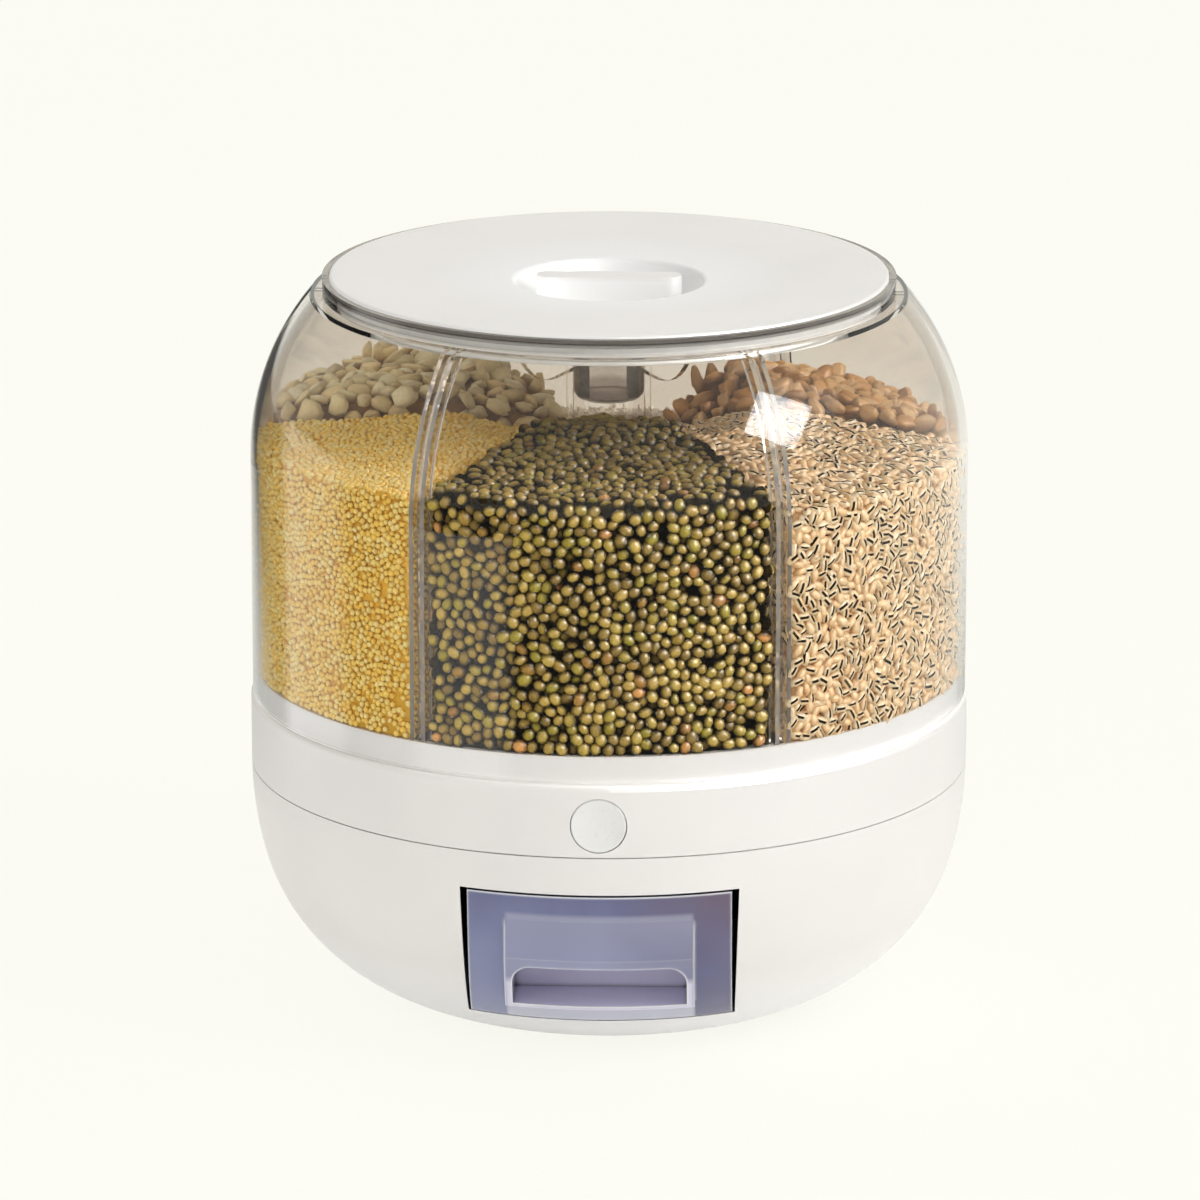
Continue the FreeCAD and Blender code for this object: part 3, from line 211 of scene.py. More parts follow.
def clear(name, face, low_face, low=DECK_LINE, dome_face=None, haze=0.002, bend=1.4, gloss=1.4, ribs=0.0):
    """Clear plastic that bends what is behind it, with gloss, fine scratches and a little haze."""
    made = bpy.data.materials.new(name)
    nodes = Nodes(made)
    x, y, height = nodes.axes(nodes.place())
    tint = nodes.mix(nodes.rise(height, low), low_face, face)
    if dome_face:
        tint = nodes.mix(nodes.rise(height, DOME_TINT), tint, dome_face)
    # Darker at the top of the neck: painted shade and a painted shadow line under the lid's edge
    tint = nodes.mix(nodes.rise(height, NECK_SHADE_START), tint, (0.84, 0.83, 0.82))
    tint = nodes.mix(nodes.rise(height, NECK_SHADOW_LINE), tint, (0.42, 0.40, 0.38))
    cloudy = nodes.span(nodes.noise(9.0, detail=2.0), 0.0, 0.06, 0.4, 0.7)
    tint = nodes.mix(cloudy, tint, (0.80, 0.76, 0.74))
    through = nodes.add("ShaderNodeBsdfRefraction", ("Color", tint), ("IOR", bend), ("Roughness", 0.0))
    scratches = nodes.noise(240.0, distortion=2.5)
    mist = nodes.span(scratches, haze * 0.5, haze * 1.6, 0.4, 0.75)
    if ribs:
        out = nodes.math("SUBTRACT", nodes.diagonal(x, y), DOME_CENTRE * MM)
        up = nodes.math("MAXIMUM", nodes.math("SUBTRACT", height, DOME_START * MM), 0.0)
        ridge = nodes.product(nodes.fall(nodes.diagonal(out, up), RIB_REACH), nodes.fall(height, RIB_TOP))
        mist = nodes.math("ADD", mist, nodes.product(ridge, ribs))
    matt = nodes.add("ShaderNodeBsdfDiffuse", ("Color", (0.8, 0.78, 0.76, 1)))
    body = nodes.blend(mist, through.outputs[0], matt.outputs[0])
    ripples = nodes.bump(nodes.noise(30.0, detail=2.0), 0.03, 0.0004)
    mirror = (("Color", (1, 1, 1, 1)), ("Roughness", 0.02), ("Normal", ripples))
    glossy = nodes.add("ShaderNodeBsdfGlossy", *mirror).outputs[0]
    mirrored = nodes.add("ShaderNodeFresnel", ("IOR", gloss), ("Normal", ripples)).outputs[0]
    seen = nodes.blend(mirrored, body, glossy)
    rays = nodes.add("ShaderNodeLightPath").outputs
    lit = nodes.math("MAXIMUM", rays["Is Shadow Ray"], rays["Is Diffuse Ray"])
    passed = nodes.add("ShaderNodeBsdfTransparent", ("Color", (1, 1, 1, 1))).outputs[0]
    nodes.finish(nodes.blend(lit, seen, passed))
    return made


def tinted(name, tones, edge_highlight_tone, shade_tone):
    """Tinted plastic, a little see-through, with painted highlights on its edges, painted shade in its
    inner corners, and painted light and shading over its front.
    """
    made = bpy.data.materials.new(name)
    nodes = Nodes(made)
    across, along, up = nodes.axes(nodes.place())
    # The tone slants darker and pinker towards the right and the top: painted shading across the front
    rightwards = nodes.span(across, 0.0, 0.62, 0.0, 0.04)
    upwards = nodes.span(up, 0.0, 0.4, 0.035, 0.064)
    cloudy = nodes.span(nodes.noise(30.0), -0.12, 0.12, 0.3, 0.7)
    slant = nodes.math("ADD", nodes.math("ADD", rightwards, upwards), cloudy)
    tone = nodes.ramp(slant, *tones)
    beside = nodes.fall(nodes.math("ABSOLUTE", across), PULL_SIDE)
    # Lighter on the pull, more so towards its top: painted light
    pull = nodes.product(beside, nodes.fall(up, PULL_TOP), nodes.span(up, 0.0, 0.55, *PULL_RISE))
    tone = nodes.mix(pull, tone, (0.50, 0.515, 0.63))
    # Much paler inside the pocket behind the pull: painted light where it lies in shade
    reach = nodes.diagonal(across, along)
    pocket = nodes.product(nodes.fall(reach, FRONT_SKIN), nodes.fall(along, POCKET_BACK), beside)
    tone = nodes.mix(nodes.product(pocket, 0.95), tone, (0.86, 0.83, 1.0))
    # Paler along the low strip: painted light from below
    strip = nodes.product(nodes.fall(up, LOW_STRIP), beside)
    tone = nodes.mix(nodes.product(strip, 0.7), tone, (0.62, 0.64, 0.76))
    # Pale along convex edges: painted highlights
    normal = nodes.add("ShaderNodeNewGeometry").outputs["Normal"]
    rounded = nodes.add("ShaderNodeBevel", ("Radius", 0.0016), samples=8).outputs[0]
    likeness = nodes.add("ShaderNodeVectorMath", (0, normal), (1, rounded), operation="DOT_PRODUCT")
    edge = nodes.span(likeness.outputs["Value"], 1.0, 0.0, 0.84, 0.995)
    # Much darker in inner corners: painted shade
    open_air = nodes.add("ShaderNodeAmbientOcclusion", ("Distance", 0.0022), samples=6).outputs["AO"]
    tone = nodes.mix(nodes.span(open_air, 0.85, 0.0, 0.35, 0.75), tone, shade_tone)
    edge_highlight = nodes.product(edge, nodes.span(open_air, 0.0, 1.0, 0.55, 0.8))
    tone = nodes.mix(edge_highlight, tone, edge_highlight_tone)
    skin = nodes.add(
        "ShaderNodeBsdfPrincipled",
        ("Base Color", tone),
        ("Roughness", nodes.span(nodes.noise(500.0, detail=2.0), 0.12, 0.2, 0.3, 0.7)),
        ("Coat Weight", 0.4),
        ("Normal", nodes.bump(nodes.noise(60.0, detail=2.0), 0.1, 0.0005)),
    ).outputs[0]
    glass = nodes.add("ShaderNodeBsdfTransparent", ("Color", (0.62, 0.62, 0.78, 1))).outputs[0]
    nodes.finish(nodes.blend(0.82, glass, skin))
    return made


def metal(name, colour, rough=(0.25, 0.45)):
    """Plated steel with fine specks and slow stains."""
    made = bpy.data.materials.new(name)
    nodes = Nodes(made)
    specks = nodes.noise(1500.0)
    stains = nodes.noise(120.0)
    surface = nodes.add(
        "ShaderNodeBsdfPrincipled",
        ("Base Color", nodes.ramp(stains, (0.3, [0.82 * c for c in colour]), (0.7, colour))),
        ("Metallic", 1.0),
        ("Roughness", nodes.span(specks, *rough, 0.3, 0.7)),
        ("Normal", nodes.bump(specks, 0.3, 0.00003)),
    )
    nodes.finish(surface.outputs[0])
    return made


def rubber(name, light, dark):
    """Soft matt rubber or silicone."""
    made = bpy.data.materials.new(name)
    nodes = Nodes(made)
    slow = nodes.noise(180.0)
    fine = nodes.noise(2200.0)
    surface = nodes.add(
        "ShaderNodeBsdfPrincipled",
        ("Base Color", nodes.ramp(slow, (0.35, dark), (0.65, light))),
        ("Roughness", nodes.span(fine, 0.55, 0.75, 0.3, 0.7)),
        ("Normal", nodes.bump(fine, 0.5, 0.00006)),
    )
    nodes.finish(surface.outputs[0])
    return made


def seeds(name, tones, gap, eye=None, crease_shade=None, rim_shade=0.0, top_shade=None, gloss=0.3, fine_scale=1400.0):
    """Dry seeds: each has its own tone, a mottled skin, an eye or a crease, and painted shade in the
    crease, where they touch, deep in the heap and near its top.
    """
    made = bpy.data.materials.new(name)
    nodes = Nodes(made)
    tone = nodes.add("ShaderNodeAttribute", attribute_name="Tone").outputs["Fac"]
    colour = nodes.ramp(tone, *tones)
    skin = nodes.noise(fine_scale)
    colour = nodes.mix(nodes.span(skin, 0.0, 0.25, 0.40, 0.75), colour, gap)
    own = nodes.add("ShaderNodeAttribute", attribute_name="Own").outputs["Vector"]
    along, across, up = nodes.axes(own)
    if eye:
        apart = nodes.add("ShaderNodeVectorMath", (0, own), (1, (0.25, 0.85, 0.35)), operation="DISTANCE")
        colour = nodes.mix(nodes.span(apart.outputs["Value"], 0.95, 0.0, 0.20, 0.30), colour, eye)
    # Seeds darken with depth below the heap's surface: painted shade, which also takes away their gloss
    deep = nodes.add("ShaderNodeAttribute", attribute_name="Deep").outputs["Fac"]
    painted_shade = nodes.math("MINIMUM", deep, 1.0)
    colour = nodes.mix(painted_shade, colour, gap)
    # A dark line along the middle of the seed: painted shade in its crease
    if crease_shade:
        beside = nodes.math("ABSOLUTE", nodes.math("ADD", across, nodes.product(along, 0.15)))
        narrow = nodes.fall(beside, (0.20, 0.30))
        middle = nodes.fall(nodes.math("ABSOLUTE", along), (0.42, 0.6))
        line = nodes.product(narrow, middle, nodes.rise(tone, (0.35, 0.38)))
        colour = nodes.mix(line, colour, crease_shade)
        painted_shade = nodes.math("MAXIMUM", painted_shade, line)
    # Darker towards the rim of each seed, where it meets the next: painted shade
    if rim_shade:
        edge = nodes.span(up, rim_shade, 0.0, 0.25, 0.85)
        colour = nodes.mix(edge, colour, gap)
        painted_shade = nodes.math("MAXIMUM", painted_shade, edge)
    # Darker near the top of the heap: painted shade
    if top_shade:
        start, end, share = top_shade
        high = nodes.span(nodes.axes(nodes.place())["Z"], 0.0, share, start, end)
        colour = nodes.mix(high, colour, gap)
        painted_shade = nodes.math("MAXIMUM", painted_shade, high)
    surface = nodes.add(
        "ShaderNodeBsdfPrincipled",
        ("Base Color", colour),
        ("Roughness", nodes.span(skin, 0.45, 0.6, 0.3, 0.7)),
        ("Specular IOR Level", nodes.span(painted_shade, gloss, 0.0, 0.0, 0.8)),
        ("Normal", nodes.bump(skin, 0.4, 0.0001)),
    )
    nodes.finish(surface.outputs[0])
    return made


SHELL_TONES = ((0.86, 0.84, 0.815), (0.82, 0.805, 0.785))
WHITE = moulded("white_plastic", *SHELL_TONES, sheen=0.15)
# The bowl and the lid are paler low down: painted light under the bowl and in the lid's dish and recess
BOWL = moulded("bowl_plastic", *SHELL_TONES, sheen=0.15, painted_light=(0.035, 0.004, (0.97, 0.97, 0.985)))
LID = moulded("lid_plastic", *SHELL_TONES, sheen=0.15, painted_light=(0.2348, 0.2335, (0.90, 0.90, 0.89)))
BUTTON = moulded("button_plastic", (0.84, 0.84, 0.82), (0.80, 0.80, 0.785), rough=(0.26, 0.36), sheen=0.2)
INNER = moulded("inner_plastic", (0.80, 0.80, 0.78), (0.74, 0.74, 0.72), rough=(0.45, 0.6))
GLIDE = moulded("glide_plastic", (0.74, 0.74, 0.70), (0.68, 0.68, 0.65), rough=(0.3, 0.42))
CLEAR = clear(
    "clear_plastic", (0.96, 0.945, 0.92), (0.985, 0.985, 0.985), dome_face=(0.912, 0.89, 0.863), ribs=0.35
)
INSERT = clear(
    "insert_plastic", (0.98, 0.97, 0.96), (0.985, 0.985, 0.985), haze=0.02, bend=1.03, gloss=1.03
)
PLUG = clear(
    "plug_plastic", (0.95, 0.94, 0.93), (0.70, 0.66, 0.64), low=(0.1985, 0.2),
    haze=0.10, bend=1.2, gloss=1.2,
)
TINTED = tinted(
    "tinted_plastic",
    ((0.05, (0.275, 0.30, 0.50)), (0.45, (0.155, 0.165, 0.32)), (0.95, (0.165, 0.12, 0.185))),
    # Then the painted highlight on its edges, and the painted shade in its inner corners
    (0.97, 0.98, 1.0),
    (0.02, 0.022, 0.06),
)
SILICONE = rubber("silicone", (0.78, 0.78, 0.75), (0.72, 0.72, 0.70))
FOOT = rubber("foot_rubber", (0.10, 0.10, 0.105), (0.07, 0.07, 0.075))
STEEL = metal("steel", (0.60, 0.60, 0.60))
SPRING = metal("spring_steel", (0.52, 0.52, 0.54), rough=(0.2, 0.35))

DRESS = {
    "base_bowl": BOWL,
    "top_deck": WHITE,
    "lid": LID,
    "floor_tray": WHITE,
    "push_button": BUTTON,
    "drawer_frame": INNER,
    "outlet_gate": INNER,
    "gate_cover": INNER,
    "clear_barrel": CLEAR,
    "divider": INSERT,
    "hub_plug": PLUG,
    "measuring_cup": TINTED,
    "outlet_seal": SILICONE,
    "lid_seal": SILICONE,
    "rubber_feet": FOOT,
    "glide_ring": GLIDE,
    "spindle": STEEL,
    "pivot_washer": STEEL,
    "pivot_screw": STEEL,
    "base_screws": STEEL,
    "cover_screws": STEEL,
    "button_clip": STEEL,
    "gate_springs": SPRING,
}

for name, finish in DRESS.items():
    for slot in bpy.data.objects[name].material_slots:
        slot.material = finish


def mesh_piece(name, points, triangles, materials, body):
    """A piece of triangles, smooth all over, that rides on a body."""
    mesh = bpy.data.meshes.new(name)
    points = np.asarray(points, np.float32)
    triangles = np.asarray(triangles, np.int32)
    mesh.vertices.add(len(points))
    mesh.vertices.foreach_set("co", points.ravel())
    mesh.loops.add(triangles.size)
    mesh.loops.foreach_set("vertex_index", triangles.ravel())
    mesh.polygons.add(len(triangles))
    mesh.polygons.foreach_set("loop_start", np.arange(0, triangles.size, 3, dtype=np.int32))
    mesh.polygons.foreach_set("use_smooth", np.ones(len(triangles), bool))
    mesh.update(calc_edges=True)
    mesh.validate()
    for material in materials:
        mesh.materials.append(material)
    made = bpy.data.objects.new(name, mesh)
    bpy.context.scene.collection.objects.link(made)
    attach(made, body)
    return made


# Grain

GRAIN_LOW = 109.4
GRAIN_SIDE = 3.0
GRAIN_HIGH = 206.0
HUB = 13.8
PEAK_RADIUS = 52.0
WALL_GAP = 0.15
SECTOR = math.radians(60)

# Loose grain: the random places tried, the rounds of pushing apart, and the forms of each shape
TRIES = 400_000
ROUNDS = 18
VARIANTS = 5

# In pitches: how deep the loose shell reaches, how close two grains may lie, how far they drift out
# in a round, and the depth over which a grain counts as near the surface
SHELL = 1.15
CLOSEST = 0.97
DRIFT = 0.06
NEAR = 0.45

# The share of an overlap that one grain gives way, and of its half thickness that it stays inside
GIVE = 0.42
INSIDE = 0.98

# Beside a vane the grain is loose down to six pitches and 14 mm under its top, and all the way down
# within 16 mm of the wall
SIDE_PITCHES = 6
SIDE_DEPTH = 14
BY_THE_WALL = 16

# The top lies a little under the stated heights, and is uneven by up to half a millimetre
SUNK = 0.6
UNEVEN = 0.5

# The core under it: its columns from hub to wall, its rows from side to side, and its own gaps
CORE_COLUMNS = 22
CORE_ROWS = 16
CORE_HUB_GAP = 0.5
CORE_WALL_GAP = 0.2


def wall_radius(z):
    """The inner radius of the barrel at each height."""
    rise = np.clip(z - DOME_START, 0, DOME_INNER)
    return np.where(z > DOME_START, DOME_CENTRE + np.sqrt(DOME_INNER**2 - rise**2), BARREL_INNER)


def quad(a, b, c, d, flip=False):
    """Two triangles over four corners, turned over where asked."""
    faces = [(a, b, c), (a, c, d)]
    return [face[::-1] for face in faces] if flip else faces


def sphere(count, rings):
    """A unit ball, as points and triangles: rings of a count of points between two poles."""
    points, triangles = [(0, 0, 1)], []
    for height, turn in rings:
        radius = math.sqrt(1 - height**2)
        for step in range(count):
            angle = (step + turn) * 2 * math.pi / count
            points.append((radius * math.cos(angle), radius * math.sin(angle), height))
    points.append((0, 0, -1))
    last = len(points) - 1
    for step in range(count):
        triangles.append((0, 1 + step, 1 + (step + 1) % count))
    for start in range(1, last - count, count):
        for step in range(count):
            after = (step + 1) % count
            low = start + count
            triangles += quad(start + step, low + step, low + after, start + after)
    start = last - count
    for step in range(count):
        triangles.append((start + (step + 1) % count, start + step, last))
    return np.array(points, float), np.array(triangles, int)


COARSE = sphere(5, [(0.45, 0.0), (-0.45, 0.5)])
MIDDLE = sphere(6, [(0.6, 0.0), (0.0, 0.5), (-0.6, 0.0)])
FINE = sphere(8, [(0.8, 0.0), (0.35, 0.5), (-0.35, 0.0), (-0.8, 0.5)])
SMOOTH = sphere(10, [(0.9, 0.0), (0.6, 0.5), (0.2, 0.0), (-0.2, 0.5), (-0.6, 0.0), (-0.9, 0.5)])


def boxy(points, power):
    """The ball pushed out towards a block."""
    length = (np.abs(points) ** power).sum(1) ** (1 / power)
    return points / length[:, None]


def kernels(points, cuts, generator):
    """The ball with flat sides, as of a broken or pressed kernel."""
    form = points.copy()
    for way in generator.normal(size=(cuts, 3)):
        way = way / np.linalg.norm(way)
        form -= np.clip(form @ way - generator.uniform(0.55, 0.85), 0, None)[:, None] * way
    return form


class Grain:
    """One kind of grain: its size, its shapes near the surface and below it, and how it lies.

    power: how blocky its form is, and cuts: how many flat sides it has
    flat: how much it tilts off the surface it lies against, and spread: how much its size varies
    swell: how much larger it is than its place in the heap
    layers: how many lie through the loose shell, and bed: how deep the core starts
    shade: how deep it lies before its painted shade begins
    rim_shade, gloss, top_shade: passed on to its material, where rim_shade and top_shade are painted shade
    """

    def __init__(self, size, near, far, power=2.0, flat=0.25, spread=0.09, layers=2.0, shade=0.3,
                 cuts=0, swell=1.0, bed=1.0, rim_shade=0.0, gloss=0.3, top_shade=None):
        self.half = np.array(size, float) / 2
        self.pitch = 2 * float(np.prod(self.half)) ** (1 / 3)
        self.shapes = [near, far]
        self.power = power
        self.cuts = cuts
        self.flat = flat
        self.spread = spread
        self.swell = swell
        self.layers = layers
        self.bed = bed
        self.shade = shade
        self.rim_shade = rim_shade
        self.gloss = gloss
        self.top_shade = top_shade


# rim_shade and top_shade are painted shade: darker seed rims where they touch, and a darker top to the
# mung heap
KINDS = {
    "mung_bean": Grain(
        (4.7, 3.75, 3.65), FINE, COARSE, power=2.4, swell=1.04, rim_shade=0.97, shade=0.2, gloss=0.25,
        top_shade=(0.1885, 0.1955, 0.5),
    ),
    "millet": Grain((2.2, 2.0, 1.9), COARSE, COARSE, layers=1.5, swell=1.22, bed=0.55, gloss=0.2),
    "rolled_oat": Grain(
        (5.2, 2.7, 2.0), MIDDLE, COARSE, power=2.3, flat=0.2, swell=1.12, bed=0.7, gloss=0.2
    ),
    "broad_bean": Grain(
        (9.5, 7.2, 4.4), SMOOTH, FINE, flat=0.6, spread=0.16, shade=0.7, cuts=11, rim_shade=0.25, gloss=0.15
    ),
    "cashew": Grain(
        (10.0, 6.8, 4.6), SMOOTH, FINE, flat=0.5, spread=0.14, shade=0.7, cuts=10, rim_shade=0.4, gloss=0.15
    ),
    "rice": Grain((6.4, 2.2, 1.9), MIDDLE, COARSE, power=2.2, flat=0.25, swell=1.1, bed=0.7),
}

# The way each compartment faces in degrees, and how high its grain stands at the hub, at its peak
# and at the wall
HEAPS = {
    "cashew": (30, 176, 198, 185),
    "rice": (90, 174, 176, 164),
    "broad_bean": (150, 188, 197, 193),
    "millet": (210, 184, 192, 187),
    "mung_bean": (270, 193, 200, 190),
    "rolled_oat": (330, 186, 194, 183),
}

TONES = {
    "mung_bean": (
        (0.0, (0.26, 0.17, 0.035)),
        (0.3, (0.43, 0.295, 0.06)),
        (0.6, (0.65, 0.455, 0.10)),
        (0.9, (0.38, 0.315, 0.03)),
        (0.97, (0.45, 0.22, 0.05)),
        (0.995, (0.85, 0.42, 0.12)),
    ),
    "millet": ((0.0, (0.98, 0.65, 0.12)), (0.5, (0.99, 0.75, 0.21)), (1.0, (0.99, 0.85, 0.38))),
    "rolled_oat": ((0.0, (0.93, 0.63, 0.33)), (0.5, (0.95, 0.74, 0.45)), (1.0, (0.96, 0.82, 0.57))),
    "broad_bean": ((0.0, (0.99, 0.80, 0.43)), (0.5, (0.99, 0.90, 0.54)), (1.0, (0.99, 0.94, 0.66))),
    "cashew": ((0.0, (0.74, 0.38, 0.11)), (0.5, (0.84, 0.50, 0.19)), (1.0, (0.90, 0.63, 0.31))),
    "rice": ((0.0, (0.84, 0.74, 0.58)), (0.5, (0.90, 0.82, 0.68)), (1.0, (0.93, 0.88, 0.78))),
}

# The colour of the painted shade in the gaps, the tone of each seed's eye, and the painted shade in its
# crease
GAP_SHADES = {
    "mung_bean": (0.008, 0.005, 0.002),
    "millet": (0.88, 0.52, 0.07),
    "rolled_oat": (0.70, 0.42, 0.20),
    "broad_bean": (0.42, 0.23, 0.09),
    "cashew": (0.24, 0.10, 0.03),
    "rice": (0.62, 0.52, 0.38),
}
EYES = {"mung_bean": (0.80, 0.76, 0.60)}
CREASE_SHADES = {"rolled_oat": (0.02, 0.012, 0.006), "rice": (0.5, 0.42, 0.3)}


class Heap:
    """The space that one compartment's grain fills, with the depth of a point below its surface."""

    def __init__(self, kind):
        degrees, self.hub_z, self.peak_z, self.wall_z = HEAPS[kind]
        self.angle = math.radians(degrees)
        self.seed = degrees

    def top(self, radius, turn):
        """How high the grain stands, a little unevenly."""
        high = np.interp(radius, [HUB, PEAK_RADIUS, BARREL_INNER], [self.hub_z, self.peak_z, self.wall_z])
        wave = np.sin(radius * 0.11 + self.seed) * np.cos(turn * 7.0 + self.seed * 0.7)
        return high - SUNK + UNEVEN * wave

    def depths(self, points):
        """How deep each point lies below the wall, the top, the left side and the right side."""
        radius = np.hypot(points[:, 0], points[:, 1])
        turn = np.arctan2(points[:, 1], points[:, 0])
        wall = wall_radius(points[:, 2]) - WALL_GAP - radius
        top = self.top(radius, turn) - points[:, 2]
        left = radius * np.sin(SECTOR / 2 - turn) - GRAIN_SIDE
        right = radius * np.sin(SECTOR / 2 + turn) - GRAIN_SIDE
        return np.stack([wall, top, left, right])

    def pack(self, grain, generator):
        """Centres of grain in the outer shell, pushed apart until they lie about as real grain does."""
        inset = grain.half[2] * INSIDE
        reach = inset + grain.pitch * SHELL
        side_reach = grain.pitch * SIDE_PITCHES + SIDE_DEPTH
        corner = np.array([HUB, -BARREL_INNER * 0.5, GRAIN_LOW])
        far = np.array([BARREL_INNER, BARREL_INNER * 0.5, GRAIN_HIGH])
        cloud = corner + generator.random((TRIES, 3)) * (far - corner)
        depths = self.depths(cloud)
        wall, top, left, right = depths
        inside = (depths.min(0) > inset) & (np.hypot(cloud[:, 0], cloud[:, 1]) > HUB + 1)
        near_side = (np.minimum(left, right) < reach) & ((top < side_reach) | (wall < BY_THE_WALL))
        shell = inside & ((wall < reach) | (top < reach) | near_side)
        room = shell.sum() / TRIES * np.prod(far - corner)
        count = int(room * grain.layers / SHELL / grain.pitch**3)
        points = cloud[shell][:count]
        for _ in range(ROUNDS):
            points = self.push_apart(points, grain.pitch * CLOSEST)
            points = self.held_in(points + self.normals(points) * grain.pitch * DRIFT, inset)
        return points

    def push_apart(self, points, pitch):
        """Points moved away from each other where they are closer than the pitch."""
        tree = kdtree.KDTree(len(points))
        for number, point in enumerate(points):
            tree.insert(point, number)
        tree.balance()
        moves = np.zeros_like(points)
        for number, point in enumerate(points):
            for near, other, gap in tree.find_range(point, pitch):
                if other != number and gap > 1e-6:
                    away = (point - np.array(near)) / gap
                    moves[number] += away * (pitch - gap) * GIVE
        return points + moves

    def held_in(self, points, inset):
        """Points brought back inside the wall, the sides, the top and the floor."""
        held = points.copy()
        radius = np.hypot(held[:, 0], held[:, 1])
        wall = self.depths(held)[0]
        scale = (radius - np.clip(inset - wall, 0, None)) / radius
        held[:, 0] *= scale
        held[:, 1] *= scale
        left, right = self.depths(held)[2:]
        for side, depth in ((1, left), (-1, right)):
            out = np.clip(inset - depth, 0, None)
            held[:, 0] += out * math.sin(SECTOR / 2)
            held[:, 1] -= side * out * math.cos(SECTOR / 2)
        top = self.depths(held)[1]
        held[:, 2] -= np.clip(inset - top, 0, None)
        held[:, 2] = np.maximum(held[:, 2], GRAIN_LOW + inset)
        return held

    def normals(self, points):
        """The way out of the heap at each point, from the surface that it lies nearest to."""
        radius = np.hypot(points[:, 0], points[:, 1])
        nearest = self.depths(points).argmin(0)
        across, along = math.sin(SECTOR / 2), math.cos(SECTOR / 2)
        normals = np.stack([points[:, 0] / radius, points[:, 1] / radius, np.zeros(len(points))], 1)
        ways = {1: (0.15, 0.0, 1.0), 2: (-across, along, 0.0), 3: (-across, -along, 0.0)}
        for number, way in ways.items():
            normals[nearest == number] = np.array(way) / np.linalg.norm(way)
        return normals

    def core(self, depth):
        """The closed form under the loose grain, a given depth inside."""
        half = SECTOR / 2
        radii = np.linspace(HUB + CORE_HUB_GAP, BARREL_INNER - CORE_WALL_GAP - depth, CORE_COLUMNS)
        points, triangles, grid = [], [], {}
        for row in range(CORE_ROWS + 1):
            share = row / CORE_ROWS * 2 - 1
            for column, radius in enumerate(radii):
                inset = min(0.98 * math.sin(half), (GRAIN_SIDE + depth) / radius)
                turn = share * (half - math.asin(inset))
                high = float(self.top(radius, turn)) - depth
                outer = min(radius, float(wall_radius(high)) - CORE_WALL_GAP - depth)
                for level, (reach, z) in enumerate(((radius, GRAIN_LOW), (outer, high))):
                    grid[row, column, level] = len(points)
                    points.append((reach * math.cos(turn), reach * math.sin(turn), z))
        for row in range(CORE_ROWS):
            for column in range(CORE_COLUMNS - 1):
                for level in (0, 1):
                    a, b = grid[row, column, level], grid[row, column + 1, level]
                    c, d = grid[row + 1, column + 1, level], grid[row + 1, column, level]
                    triangles += quad(a, b, c, d, flip=level == 0)
        for column in range(CORE_COLUMNS - 1):
            for row in (0, CORE_ROWS):
                a, b = grid[row, column, 0], grid[row, column + 1, 0]
                c, d = grid[row, column + 1, 1], grid[row, column, 1]
                triangles += quad(a, b, c, d, flip=row == CORE_ROWS)
        for row in range(CORE_ROWS):
            for column in (CORE_COLUMNS - 1, 0):
                a, b = grid[row, column, 0], grid[row + 1, column, 0]
                c, d = grid[row + 1, column, 1], grid[row, column, 1]
                triangles += quad(a, b, c, d, flip=column == 0)
        return np.array(points), np.array(triangles)


def lay(normals, flat, generator):
    """Axes for each grain: flat to the surface it lies against, with a random turn and some tilt."""
    count = len(normals)
    tilted = normals + flat * generator.normal(size=(count, 3))
    tilted /= np.linalg.norm(tilted, axis=1)[:, None]
    other = generator.normal(size=(count, 3))
    along = np.cross(tilted, other)
    along /= np.linalg.norm(along, axis=1)[:, None]
    across = np.cross(tilted, along)
    return np.stack([along, across, tilted], 1)


